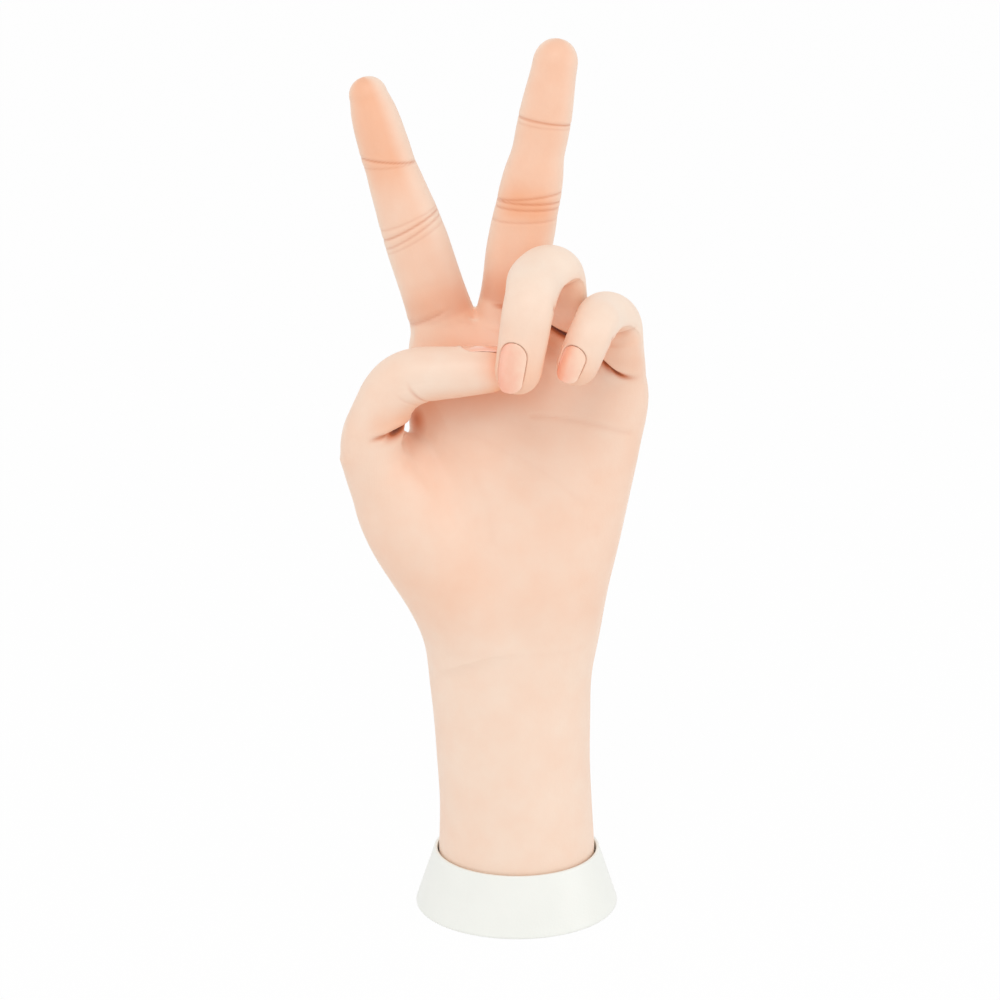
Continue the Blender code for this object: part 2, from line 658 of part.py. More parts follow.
def build_base(collar_white, steel, rubber):
    """Collar, ballast plate, core bolt and pad."""
    foot = COLLAR_EDGE
    top = COLLAR_HEIGHT
    bore = PALM_SECTIONS[0][2] + TOUCH_GAP
    plate_low = PAD_THICKNESS + TOUCH_GAP
    plate_high = plate_low + PLATE_THICKNESS
    recess_top = plate_high + TOUCH_GAP
    plate_radius = BASE_RADIUS - COLLAR_FOOT_WALL
    collar = turned("base_collar", (
        (BASE_RADIUS - foot, 0.0), (BASE_RADIUS - foot * 0.3, foot * 0.3), (BASE_RADIUS, foot),
        (COLLAR_TOP_RADIUS, top - foot / 2), (COLLAR_TOP_RADIUS - foot / 2, top), (bore, top),
        (bore, LEDGE_TOP), (LEDGE_RADIUS, LEDGE_TOP), (LEDGE_RADIUS, recess_top),
        (plate_radius + TOUCH_GAP, recess_top), (plate_radius + TOUCH_GAP, 0.0),
    ), BASE_SIDES, collar_white)
    plate = upright("base_plate", plate_low, plate_high, plate_radius, BASE_SIDES)
    plate.data.materials.append(steel)
    pad = upright("base_pad", 0.0, PAD_THICKNESS, plate_radius, BASE_SIDES)
    pad.data.materials.append(rubber)
    head_top = plate_low + CORE_BOLT_HEAD_HEIGHT
    bolt_high = plate_high + CORE_BOLT_REACH
    bolt = upright("core_bolt", head_top - CORE_BOLT_HEAD_HEIGHT / 2, bolt_high, CORE_BOLT_RADIUS, 12)
    bolt.data.materials.append(steel)
    combine(bolt, [upright("head", plate_low, head_top, CORE_BOLT_HEAD_RADIUS, 12)], "UNION")
    combine(plate, [
        upright("bolt_hole", 0.0, bolt_high, CORE_BOLT_RADIUS + TOUCH_GAP, 12),
        upright("bolt_seat", 0.0, head_top + TOUCH_GAP, CORE_BOLT_HEAD_RADIUS + TOUCH_GAP, 12),
    ], "DIFFERENCE")
    for piece in (collar, plate, pad, bolt):
        finish(piece)
    return plate_high, bolt_high


def plate_hull(name, grow):
    """The palm plate's outline: a hull round the stems' feet and the tail."""
    bm = bmesh.new()
    low = PALM_PLATE_Y - PALM_PLATE_THICKNESS / 2 - grow
    high = PALM_PLATE_Y + PALM_PLATE_THICKNESS / 2 + grow
    spots = [(stem_foot(digit), PALM_PLATE_EDGE) for digit in FINGERS]
    spots.append((Vector((0.0, 0.0, CORE_TOP + TOUCH_GAP + PALM_PLATE_EDGE)), PALM_PLATE_EDGE))
    spots.append((stem_foot(THUMB), PALM_PLATE_SCREW_EDGE))
    for spot, edge in spots:
        for i in range(8):
            turn = math.tau * (i + 0.5) / 8
            reach = (edge + grow) / math.cos(math.pi / 8)
            x = spot.x + reach * math.cos(turn)
            z = spot.z + reach * math.sin(turn)
            bm.verts.new((x, low, z))
            bm.verts.new((x, high, z))
    made = bmesh.ops.convex_hull(bm, input=bm.verts)
    loose = [item for item in made["geom_interior"] if isinstance(item, bmesh.types.BMVert)]
    bmesh.ops.delete(bm, geom=loose, context="VERTS")
    bmesh.ops.dissolve_limit(bm, angle_limit=math.radians(1.0), verts=bm.verts, edges=bm.edges)
    return make_object(name, bm)


def plate_tail(name, grow):
    """The tail that goes down into the post."""
    half = PALM_PLATE_EDGE + grow
    thick = PALM_PLATE_THICKNESS / 2 + grow
    return block(name, Matrix.Translation((0.0, PALM_PLATE_Y, CORE_TOP)),
                 (-half, -thick, -TAIL_DEPTH - grow), (half, thick, PALM_PLATE_EDGE))


def front_to_back(name, centre, half, radius, sides):
    """A round bar along Y through a point."""
    reach = Vector((0.0, half, 0.0))
    return cylinder(name, centre - reach, centre + reach, radius, sides)


def build_frame(plate_high, bolt_high, bone_plastic, steel):
    """Post, palm plate with its four forks, thumb base bone, wrist bolt and knuckle pins."""
    core = turned("forearm_core", (
        (0.0, plate_high + TOUCH_GAP), (LEDGE_RADIUS - TOUCH_GAP, plate_high + TOUCH_GAP),
        (LEDGE_RADIUS - TOUCH_GAP, LEDGE_TOP + TOUCH_GAP), (CORE_FLANGE_RADIUS, LEDGE_TOP + TOUCH_GAP),
        (CORE_FLANGE_RADIUS, CORE_FLANGE_TOP), (CORE_RADIUS, CORE_FLANGE_TOP),
        (CORE_RADIUS, CORE_TOP), (0.0, CORE_TOP),
    ), 20, bone_plastic)
    wrist = Vector((0.0, 0.0, CORE_TOP - TAIL_DEPTH / 2))
    bolt_half = math.sqrt(CORE_RADIUS ** 2 - WRIST_BOLT_RADIUS ** 2) - TOUCH_GAP
    wrist_hole = WRIST_BOLT_RADIUS + TOUCH_GAP
    combine(core, [
        plate_tail("tail_slot", TOUCH_GAP),
        front_to_back("wrist_hole", wrist, CORE_RADIUS + THROUGH, wrist_hole, 12),
        upright("bolt_hole", 0.0, bolt_high + TOUCH_GAP, CORE_BOLT_RADIUS + TOUCH_GAP, 12),
    ], "DIFFERENCE")
    wrist_bolt = front_to_back("wrist_bolt", wrist, bolt_half, WRIST_BOLT_RADIUS, 12)
    wrist_bolt.data.materials.append(steel)

    plate = plate_hull("palm_plate", 0.0)
    plate.data.materials.append(bone_plastic)
    stems = [plate_tail("tail", 0.0)]
    for digit in FINGERS:
        foot = stem_foot(digit)
        direction = (digit.hinges[0] - foot).normalized()
        stems.append(cylinder("stem", foot, digit.hinges[0] - direction * (FORK_ROOT + TOUCH_GAP),
                              ROD_RADIUS, 10))
    combine(plate, stems, "UNION")
    for digit in FINGERS:
        add_fork(plate, digit.hinges[0], digit.hinge_axes[0], stem_foot(digit) - digit.hinges[0])
    lug = stem_foot(THUMB)
    screw_hole = SCREW_RADIUS + TOUCH_GAP
    combine(plate, [
        front_to_back("wrist_hole", wrist, THROUGH, wrist_hole, 12),
        front_to_back("screw_hole", lug, THROUGH, screw_hole, 10),
    ], "DIFFERENCE")

    thumb_aim = (THUMB.hinges[0] - lug).normalized()
    base_bone = cylinder("thumb_base_bone", lug + thumb_aim * (SCREW_HEAD_RADIUS + 2 * BORE_GAP),
                         THUMB.hinges[0] - thumb_aim * (FORK_ROOT + TOUCH_GAP), ROD_RADIUS, 10)
    base_bone.data.materials.append(bone_plastic)
    lug_half = THUMB_LUG_THICKNESS / 2
    combine(base_bone, [front_to_back("lug", lug, lug_half, THUMB_LUG_RADIUS, 14)], "UNION")
    combine(base_bone, [
        block("plate_side", Matrix.Translation(lug), (-FAR, lug_half, -FAR), (FAR, FAR, FAR)),
        front_to_back("screw_hole", lug, THROUGH, screw_hole, 10),
    ], "DIFFERENCE")
    add_fork(base_bone, THUMB.hinges[0], THUMB.hinge_axes[0], -thumb_aim)

    backward = Vector((0.0, 1.0, 0.0))
    head = lug - backward * (lug_half + TOUCH_GAP + SCREW_HEAD_HEIGHT / 2)
    screw_end = Vector((lug.x, PALM_PLATE_Y + PALM_PLATE_THICKNESS / 2, lug.z))
    screw = cylinder("thumb_base_screw", head, screw_end, SCREW_RADIUS, 10)
    screw.data.materials.append(steel)
    combine(screw, [front_to_back("head", head, SCREW_HEAD_HEIGHT / 2, SCREW_HEAD_RADIUS, 10)], "UNION")
    pins = [make_pin(f"{d.name}_knuckle_pin", d.hinges[0], d.hinge_axes[0], steel) for d in DIGITS]
    for piece in [core, wrist_bolt, plate, base_bone, screw] + pins:
        finish(piece)


def palm_ring(height, left, right, front, back, squareness, tilt=0.0, sides=28):
    """A rounded cross-section of the forearm or palm, tilted about Y when it follows the webs."""
    middle_x = (left + right) / 2
    middle_y = (front + back) / 2
    half_x = (right - left) / 2
    half_y = (back - front) / 2
    points = []
    for i in range(sides):
        turn = math.tau * i / sides
        c = math.cos(turn)
        s = math.sin(turn)
        x = middle_x + half_x * math.copysign(abs(c) ** (2 / squareness), c)
        y = middle_y + half_y * math.copysign(abs(s) ** (2 / squareness), s)
        points.append(Vector((x, y, height + tilt * (x - middle_x))))
    return points


def thenar():
    """The thumb's muscle, from the wrist to the thumb's root."""
    start = Vector(THENAR_START)
    end = THUMB.corners[0] - THUMB.root_aim * THUMB.bends[0]
    tangent = (end - start).normalized()
    rings = []
    for share, radius in THENAR_SWELL:
        rings.append(oval(start.lerp(end, share), tangent.lerp(THUMB.root_aim, share), THUMB.side_axis,
                          radius * THENAR_FLATNESS, radius))
    rings.append(skin_ring(THUMB, end, THUMB.root_aim, 0.0))
    return loft("thenar", rings)


def first_web():
    """The fold of skin between the thumb's root and the palm."""
    start = Vector(WEB_START)
    end = Vector(WEB_END)
    tangent = (end - start).normalized()
    rings = [oval(start.lerp(end, share), tangent, Vector((1.0, 0.0, 0.0)), radius, radius)
             for share, radius in WEB_SWELL]
    return loft("first_web", rings)


def thumb_room():
    """Clears the palm and the web round the thumb's own soft and hard skin."""
    stations = bend_stations(THUMB, 0, 6, trim=TOUCH_GAP / 2)
    rings = [skin_ring(THUMB, c, t, s, grow=TOUCH_GAP * 1.5) for c, t, s, _ in stations]
    centre, tangent, station, _ = stations[-1]
    rings.append(skin_ring(THUMB, centre + tangent * ROOT_DEPTH, tangent, station, grow=WEB_CLEARANCE))
    return loft("thumb_room", rings)


def hand_blank():
    """The whole skin of forearm, palm, thumb root and finger roots, before it is hollowed and split."""
    rings = [palm_ring(*section) for section in PALM_SECTIONS]
    left, right = PALM_SECTIONS[-1][1:3]
    top = (WEB_TOP_LEFT + WEB_TOP_RIGHT) / 2
    slope = (WEB_TOP_RIGHT - WEB_TOP_LEFT) / (right - left)
    for drop, left_in, right_in, front, back, share in WEB_SECTIONS:
        rings.append(palm_ring(top - drop, left + left_in, right - right_in, front, back,
                               WEB_SQUARENESS, slope * share))
    blank = loft("palm_skin", rings)
    parts = []
    for digit in FINGERS:
        stations = bend_stations(digit, 0, 5, trim=0.0)
        centre, tangent, _, _ = stations[0]
        rings = [skin_ring(digit, centre - tangent * ROOT_DEPTH, tangent, 0.0)]
        rings += [skin_ring(digit, c, t, s) for c, t, s, _ in stations]
        centre, tangent, station, _ = stations[-1]
        rings.append(skin_ring(digit, centre + tangent * ROOT_OVERLAP, tangent, station))
        parts.append(loft("root", rings))
    parts.append(thenar())
    parts.append(first_web())
    return combine(blank, parts, "UNION")


def keep_out(digit):
    """Clears the web round the first hard stretch of a finger's skin."""
    start = digit.corners[0] + digit.aims[0] * (digit.bends[0] - TOUCH_GAP)
    radius = digit.skin_radius(0.4) + WEB_CLEARANCE
    return cylinder("keep_out", start, start + digit.aims[0] * digit.lengths[0] / 2, radius, 20)


def hand_hollows():
    """Room inside the skin for the post, the palm plate, the stems and the thumb's base bone."""
    hollow = upright("hollow", 0.0, CORE_TOP + TOUCH_GAP, CORE_RADIUS + BORE_GAP, 20)
    fork_room = BEND_BORE_HALF_WIDTH + BORE_GAP
    tools = [plate_hull("plate_room", BORE_GAP), plate_tail("tail_room", BORE_GAP)]
    for digit in FINGERS:
        foot = stem_foot(digit)
        hinge = digit.hinges[0]
        back = (foot - hinge).normalized()
        tools.append(cylinder("stem_room", foot, hinge - back * FORK_RADIUS, fork_room, 12))
        end = digit.corners[0] + digit.aims[0] * (digit.bends[0] + ROOT_OVERLAP * 2)
        forward = (end - hinge).normalized()
        tools.append(cylinder("root_room", hinge - forward * FORK_RADIUS, end, fork_room, 12))
    lug = stem_foot(THUMB)
    thumb_aim = (THUMB.hinges[0] - lug).normalized()
    tools.append(cylinder("thumb_bone_room", lug, THUMB.hinges[0], ROD_RADIUS + BORE_GAP, 10))
    mouth = THUMB.hinges[0] - thumb_aim * (FORK_REACH + FORK_RADIUS)
    tools.append(cylinder("thumb_fork_room", mouth, THUMB.hinges[0], fork_room, 12))
    head = THUMB_LUG_THICKNESS / 2 + SCREW_HEAD_HEIGHT + TOUCH_GAP + BORE_GAP
    tools.append(front_to_back("lug_room", lug, head, THUMB_LUG_RADIUS + BORE_GAP, 14))
    return combine(hollow, tools, "UNION")


def copy_of(thing, name):
    twin = thing.copy()
    twin.data = thing.data.copy()
    twin.name = name
    twin.data.name = name
    bpy.context.scene.collection.objects.link(twin)
    return twin


def build_palm(skin):
    """The soft skin of the palm and, above the split, the softer knuckle stretch that bends."""
    cuts = [keep_out(digit) for digit in FINGERS] + [thumb_room(), hand_hollows()]
    blank = combine(hand_blank(), cuts, "DIFFERENCE")
    low_side = LITTLE.knuckle - Vector((0.0, 0.0, KNUCKLE_SPLIT_DROP))
    high_side = INDEX.knuckle - Vector((0.0, 0.0, KNUCKLE_SPLIT_DROP))
    across = high_side - low_side
    across.y = 0.0
    up = Vector((0.0, 1.0, 0.0)).cross(across)
    up = up if up.z > 0 else -up
    knuckles = copy_of(blank, "knuckle_skin")
    split = frame_on(low_side, up, Vector((1.0, 0.0, 0.0)))
    half = TOUCH_GAP / 2
    combine(blank, [block("above", split, (-FAR, -FAR, -half), (FAR, FAR, FAR))], "DIFFERENCE")
    combine(knuckles, [block("below", split, (-FAR, -FAR, -FAR), (FAR, FAR, half))], "DIFFERENCE")
    for piece in (blank, knuckles):
        piece.data.materials.clear()
        piece.data.materials.append(skin)
        finish(piece)


def build_digit(digit, skin, bone_plastic, nail_peach):
    """One finger: its empties, bones, skins and nail."""
    count = len(digit.lengths)
    names = SPAN_NAMES[count]
    joints = JOINT_NAMES[count]
    parent = None
    empties = []
    for i, (hinge, axis) in enumerate(zip(digit.hinges, digit.hinge_axes)):
        parent = joint_empty(f"{digit.name}_{joints[i]}_joint", hinge, axis, digit.aims[i], parent)
        empties.append(parent)
    for i, part_name in enumerate(names):
        finish(make_bone(f"{digit.name}_{part_name}_bone", digit, i, bone_plastic), empties[i])
        skin_name = f"{digit.name}_{part_name}_skin"
        last = i == count - 1
        piece = tip_skin(skin_name, digit, skin) if last else span_skin(skin_name, digit, i, skin)
        finish(piece, empties[i])
    finish(make_nail(digit, nail_peach), empties[-1])
    for i in range(1, count):
        sleeve = bend_skin(f"{digit.name}_{joints[i]}_joint_skin", digit, i, skin)
        finish(sleeve, empties[i])


def main():
    clear_scene()
    skin = make_material("soft_skin", (0.87, 0.62, 0.46), 0.45)
    nail_peach = make_material("nail_peach", (0.85, 0.45, 0.30), 0.2)
    collar_white = make_material("collar_white", (0.83, 0.83, 0.80), 0.35)
    bone_plastic = make_material("bone_plastic", (0.75, 0.74, 0.70), 0.5)
    steel = make_material("steel", (0.55, 0.55, 0.56), 0.35, 1.0)
    rubber = make_material("pad_rubber", (0.05, 0.05, 0.05), 0.8)
    plate_high, bolt_high = build_base(collar_white, steel, rubber)
    build_frame(plate_high, bolt_high, bone_plastic, steel)
    build_palm(skin)
    finish(bend_skin("thumb_knuckle_joint_skin", THUMB, 0, skin))
    for digit in DIGITS:
        build_digit(digit, skin, bone_plastic, nail_peach)


main()
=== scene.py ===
"""A nail practice hand in a V sign: soft skin over a jointed frame, press-in nails, a flared collar.

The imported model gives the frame. Everything is in metres, +Z up, the palm facing -Y.
"""

import math

import bmesh
import bpy
import numpy as np
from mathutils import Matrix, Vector


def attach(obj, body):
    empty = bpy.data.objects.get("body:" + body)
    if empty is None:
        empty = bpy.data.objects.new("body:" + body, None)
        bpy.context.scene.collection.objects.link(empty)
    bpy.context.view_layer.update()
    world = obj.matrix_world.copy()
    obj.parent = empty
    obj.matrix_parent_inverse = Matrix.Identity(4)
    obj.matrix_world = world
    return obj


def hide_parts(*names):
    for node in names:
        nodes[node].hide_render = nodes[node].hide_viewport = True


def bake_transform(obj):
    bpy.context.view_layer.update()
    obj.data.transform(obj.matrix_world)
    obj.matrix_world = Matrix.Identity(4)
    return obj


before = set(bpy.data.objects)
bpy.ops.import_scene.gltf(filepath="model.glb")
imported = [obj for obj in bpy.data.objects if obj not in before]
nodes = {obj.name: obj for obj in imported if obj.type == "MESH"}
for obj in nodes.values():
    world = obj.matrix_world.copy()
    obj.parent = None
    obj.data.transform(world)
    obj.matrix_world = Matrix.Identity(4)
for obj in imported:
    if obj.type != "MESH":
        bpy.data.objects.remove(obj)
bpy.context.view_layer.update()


# Base collar
# A flared ring of satin off-white ABS, moulded in one piece, with a thin rim that the wrist stands in.
# It is clamped to the base plate from inside, so no fastener shows.
COLLAR_FOOT_RADIUS = 0.0309
COLLAR_TOP_RADIUS = 0.0250
COLLAR_HEIGHT = 0.0178
COLLAR_BORE = 0.0241
COLLAR_LEDGE = 0.0205
COLLAR_LEDGE_TOP = 0.0062
COLLAR_RECESS = 0.0283
COLLAR_RECESS_TOP = 0.0053
COLLAR_FOOT_ROUND = 0.0012
COLLAR_RIM_ROUND = 0.0004
COLLAR_MOUTH_ROUND = 0.0003
COLLAR_FACETS = 160
COLLAR_WHITE = (0.935, 0.948, 0.900)


def linear(red, green, blue):
    """A colour read from a photograph, 0 to 255, as Blender's linear values."""
    parts = [c / 255 for c in (red, green, blue)]
    return tuple(c / 12.92 if c <= 0.04045 else ((c + 0.055) / 1.055) ** 2.4 for c in parts)


def new_material(name, roughness, specular=0.5):
    """A material with its Principled shader, ready for texture nodes."""
    material = bpy.data.materials.new(name)
    material.use_nodes = True
    tree = material.node_tree
    shader = tree.nodes["Principled BSDF"]
    shader.inputs["Roughness"].default_value = roughness
    shader.inputs["Specular IOR Level"].default_value = specular
    return material, tree, shader


def add_node(tree, kind, inputs=(), **settings):
    """A shader node with its settings, each input a plain value or a link."""
    node = tree.nodes.new(kind)
    for name, value in settings.items():
        setattr(node, name, value)
    for name, value in dict(inputs).items():
        if isinstance(value, bpy.types.NodeSocket):
            tree.links.new(value, node.inputs[name])
        else:
            node.inputs[name].default_value = value
    return node


def noise(tree, scale, detail=3.0, roughness=0.5):
    """Noise on the piece's own coordinates, its scale per metre."""
    place = tree.nodes.new("ShaderNodeTexCoord").outputs["Object"]
    inputs = {"Vector": place, "Scale": scale, "Detail": detail, "Roughness": roughness}
    return add_node(tree, "ShaderNodeTexNoise", inputs).outputs["Fac"]


def spread(tree, value, low, high, from_low=0.3, from_high=0.7):
    """A texture's middle range stretched to a range of its own."""
    inputs = {"Value": value, "From Min": from_low, "From Max": from_high, "To Min": low, "To Max": high}
    return add_node(tree, "ShaderNodeMapRange", inputs).outputs["Result"]


def blend_colours(tree, share, first, second):
    """Mix two colours, or a colour into a node's output."""
    first, second = ((*c, 1.0) if isinstance(c, tuple) else c for c in (first, second))
    inputs = {"Factor": share, 6: first, 7: second}
    return add_node(tree, "ShaderNodeMix", inputs, data_type="RGBA").outputs[2]


def bumps(tree, shader, height, distance, strength=1.0):
    """Raise a shader's surface by a height, whose full range is the distance."""
    bump = add_node(tree, "ShaderNodeBump", {"Strength": strength, "Distance": distance, "Height": height})
    tree.links.new(bump.outputs["Normal"], shader.inputs["Normal"])


def coat(tree, shader, tone, gloss):
    """Give a shader its colour and an uneven gloss: a noise's scale and the range of roughness."""
    tree.links.new(tone, shader.inputs["Base Color"])
    if gloss:
        scale, low, high = gloss
        tree.links.new(spread(tree, noise(tree, scale), low, high), shader.inputs["Roughness"])


def plain_finish(name, colour, shift, mottle, gloss, grain, roughness=0.5, specular=0.5, metallic=0.0):
    """A plain finish: a faint mottle of its colour, an uneven gloss and a fine grain."""
    material, tree, shader = new_material(name, roughness, specular)
    shader.inputs["Metallic"].default_value = metallic
    share = spread(tree, noise(tree, mottle), 0.0, 1.0)
    coat(tree, shader, blend_colours(tree, share, colour, tuple(c * shift for c in colour)), gloss)
    scale, detail, height = grain
    bumps(tree, shader, noise(tree, scale, detail), height)
    return material


def to_mesh(name, bm):
    mesh = bpy.data.meshes.new(name)
    bm.to_mesh(mesh)
    bm.free()
    return mesh


def put_in_scene(name, data):
    thing = bpy.data.objects.new(name, data)
    bpy.context.scene.collection.objects.link(thing)
    return thing


def place_piece(name, bm, material, nodes_replaced=()):
    """Make a finished piece from a bmesh, in place, with its finish, and hide the nodes that it stands for.
    """
    piece = put_in_scene(name, to_mesh(name, bm))
    piece.data.materials.append(material)
    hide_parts(*nodes_replaced)
    return piece


def round_corner(corner, start, end, size, steps=5):
    """Points that round off a profile's corner between the directions to its two neighbours."""
    corner, start, end = Vector(corner), Vector(start), Vector(end)
    first = corner + (start - corner).normalized() * size
    last = corner + (end - corner).normalized() * size
    shares = (i / steps for i in range(steps + 1))
    return [first.lerp(corner, t).lerp(corner.lerp(last, t), t) for t in shares]


def build_collar():
    foot = (COLLAR_FOOT_RADIUS, 0.0)
    rim = (COLLAR_TOP_RADIUS, COLLAR_HEIGHT)
    mouth = (COLLAR_BORE, COLLAR_HEIGHT)
    profile = round_corner(foot, (COLLAR_RECESS, 0.0), rim, COLLAR_FOOT_ROUND)
    profile += round_corner(rim, foot, mouth, COLLAR_RIM_ROUND)
    profile += round_corner(mouth, rim, (COLLAR_BORE, 0.0), COLLAR_MOUTH_ROUND)
    profile += [Vector(p) for p in (
        (COLLAR_BORE, COLLAR_LEDGE_TOP), (COLLAR_LEDGE, COLLAR_LEDGE_TOP),
        (COLLAR_LEDGE, COLLAR_RECESS_TOP), (COLLAR_RECESS, COLLAR_RECESS_TOP), (COLLAR_RECESS, 0.0),
    )]
    bm = bmesh.new()
    verts = [bm.verts.new((p.x, 0.0, p.y)) for p in profile]
    edges = [bm.edges.new((a, b)) for a, b in zip(verts, verts[1:] + verts[:1])]
    bmesh.ops.spin(bm, geom=verts + edges, cent=(0, 0, 0), axis=(0, 0, 1), angle=math.tau,
                   steps=COLLAR_FACETS, use_merge=True)
    bmesh.ops.remove_doubles(bm, verts=bm.verts, dist=1e-6)
    bmesh.ops.recalc_face_normals(bm, faces=bm.faces)
    finish = plain_finish("collar_abs", COLLAR_WHITE, 0.975, 70.0, (900.0, 0.30, 0.42),
                          (1600.0, 2.0, 0.00003))
    collar = place_piece("collar_shell", bm, finish, ["base_collar"])
    collar.data.shade_smooth()
    collar.data.set_sharp_from_angle(angle=math.radians(40.0))
    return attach(collar, "palm")


build_collar()


# Base plate, pad and the jointed frame inside the skin
# The plate and every pin, screw and bolt are plain steel, the pad is soft black rubber, and the post,
# palm plate and finger bones are ivory glass-filled nylon. They keep their solids and get their finish.
STEEL_GREY = (0.56, 0.57, 0.58)
BONE_IVORY = (0.78, 0.75, 0.66)
PAD_BLACK = (0.035, 0.035, 0.036)
STEEL_NODES = ("base_plate", "core_bolt", "wrist_bolt", "thumb_base_screw")


def dress(node_name, material):
    """Give a node of the frame its finish."""
    for place in nodes[node_name].material_slots:
        place.material = material


steel = plain_finish("zinc_steel", STEEL_GREY, 0.85, 400.0, (2500.0, 0.25, 0.40), (5000.0, 2.0, 0.00001),
                     metallic=1.0)
bone = plain_finish("bone_nylon", BONE_IVORY, 0.93, 250.0, (1500.0, 0.45, 0.58), (3000.0, 3.0, 0.00003))
rubber = plain_finish("pad_rubber_black", PAD_BLACK, 1.6, 500.0, None, (1800.0, 4.0, 0.00008),
                      roughness=0.85, specular=0.3)
for node_name in nodes:
    if node_name in STEEL_NODES or node_name.endswith("_pin"):
        dress(node_name, steel)
    elif node_name.endswith("_bone") or node_name in ("forearm_core", "palm_plate"):
        dress(node_name, bone)
dress("base_pad", rubber)


# Skin of the forearm, palm and finger roots
# The skin is one glove of soft skin-coloured PVC, slush-moulded from a modelled hand and pulled over the
# frame. Here it is one smooth surface, split where a joint needs it.
DEPTH_RATIO = 0.92           # depth of a finger against its width
SKIN_GRAIN = 0.0007          # size of the facets of palm and forearm
TAIL = 0.0240                # how far a finger's line reaches back into the palm
TAIL_TAPER = 0.30            # and how much thinner it starts there
LINE_STEP = 0.00025
SPLIT_DROP = 0.0095          # where the bending roots start, below the knuckle pins
WEB_CUT = 0.0090             # where past the knuckles two neighbouring roots part
THUMB_CUT_SHORT = 0.0080     # how far before its knuckle the thumb's root is cut from the palm
THUMB_FOLD_POINT = (-0.0335, -0.0085, 0.1490)
THUMB_FOLD_SIDE = (-0.8, -0.6, 0.0)
WEB_SOFTNESS = 0.0036        # fillet between a finger's root and the palm
WEB_EDGE_SOFTNESS = 0.0005   # and between two fingers where they part
PALM_SECTIONS = (            # height, left, right, front, back, squareness
    (0.0087, -0.0238, 0.0238, -0.0238, 0.0238, 2.0),
    (0.0200, -0.0235, 0.0234, -0.0233, 0.0233, 2.0),
    (0.0330, -0.0233, 0.0226, -0.0223, 0.0223, 2.0),
    (0.0455, -0.0240, 0.0220, -0.0212, 0.0210, 2.0),
    (0.0600, -0.0250, 0.0220, -0.0200, 0.0192, 2.0),
    (0.0730, -0.0263, 0.0223, -0.0190, 0.0178, 2.1),
    (0.0860, -0.0272, 0.0245, -0.0190, 0.0170, 2.2),
    (0.1000, -0.0285, 0.0268, -0.0198, 0.0166, 2.3),
    (0.1150, -0.0296, 0.0301, -0.0190, 0.0160, 2.4),
    (0.1300, -0.0306, 0.0332, -0.0175, 0.0155, 2.4),
    (0.1450, -0.0314, 0.0362, -0.0155, 0.0148, 2.4),
    (0.1560, -0.0318, 0.0378, -0.0138, 0.0138, 2.4),
    (0.1640, -0.0316, 0.0374, -0.0128, 0.0130, 2.4),
    (0.1690, -0.0312, 0.0368, -0.0117, 0.0124, 2.4),
    (0.1740, -0.0300, 0.0352, -0.0100, 0.0112, 2.4),
    (0.1775, -0.0278, 0.0318, -0.0074, 0.0088, 2.4),
)
WEB_MIDDLE = 0.0020          # where the sloping web line has its middle height
WEB_SLOPE = -0.2443
WEB_SLOPE_FROM = 0.1560
WEB_SLOPE_FULL = 0.1740
THENAR_START = (-0.0130, -0.0070, 0.0890)
THENAR_SHORT = 0.0020        # how far before the thumb's knuckle its muscle ends
THENAR_FLATNESS = 0.88
THENAR_SWELL = ((0.0, 0.0110), (0.20, 0.0125), (0.41, 0.0134), (0.62, 0.0134), (0.78, 0.0118),
                (0.90, 0.0092), (1.0, 0.0062))
FOLD_START = (-0.0270, -0.0040, 0.1200)
FOLD_END = (-0.0345, -0.0095, 0.1490)
FOLD_SWELL = ((0.0, 0.0095), (0.4, 0.0090), (0.7, 0.0075), (0.9, 0.0050), (1.0, 0.0025))


def unit(v):
    return v / np.linalg.norm(v, axis=-1, keepdims=True)


def ease(x, low, high):
    """0 below low, 1 above high, smooth between."""
    t = np.clip((x - low) / (high - low), 0.0, 1.0)
    return t * t * (3.0 - 2.0 * t)


def hill(x, width):
    return np.exp(-(x / width) ** 2)


def flow(x, xs, ys):
    """A smooth curve through a table of values."""
    xs, ys = np.asarray(xs, float), np.asarray(ys, float)
    slopes = np.gradient(ys, xs)
    i = np.clip(np.searchsorted(xs, x) - 1, 0, len(xs) - 2)
    width = xs[i + 1] - xs[i]
    t = np.clip((x - xs[i]) / width, 0.0, 1.0)
    keep = (1 + 2 * t) * (1 - t) ** 2
    return (keep * ys[i] + (1 - keep) * ys[i + 1]
            + width * (t * (1 - t) ** 2 * slopes[i] - t * t * (1 - t) * slopes[i + 1]))


def aim(side, forward):
    """A direction: sideways lean and forward turn in degrees, 0, 0 being up and forward 90 the viewer."""
    s, f = math.radians(side), math.radians(forward)
    return np.array((math.sin(s), -math.cos(s) * math.sin(f), math.cos(s) * math.cos(f)))


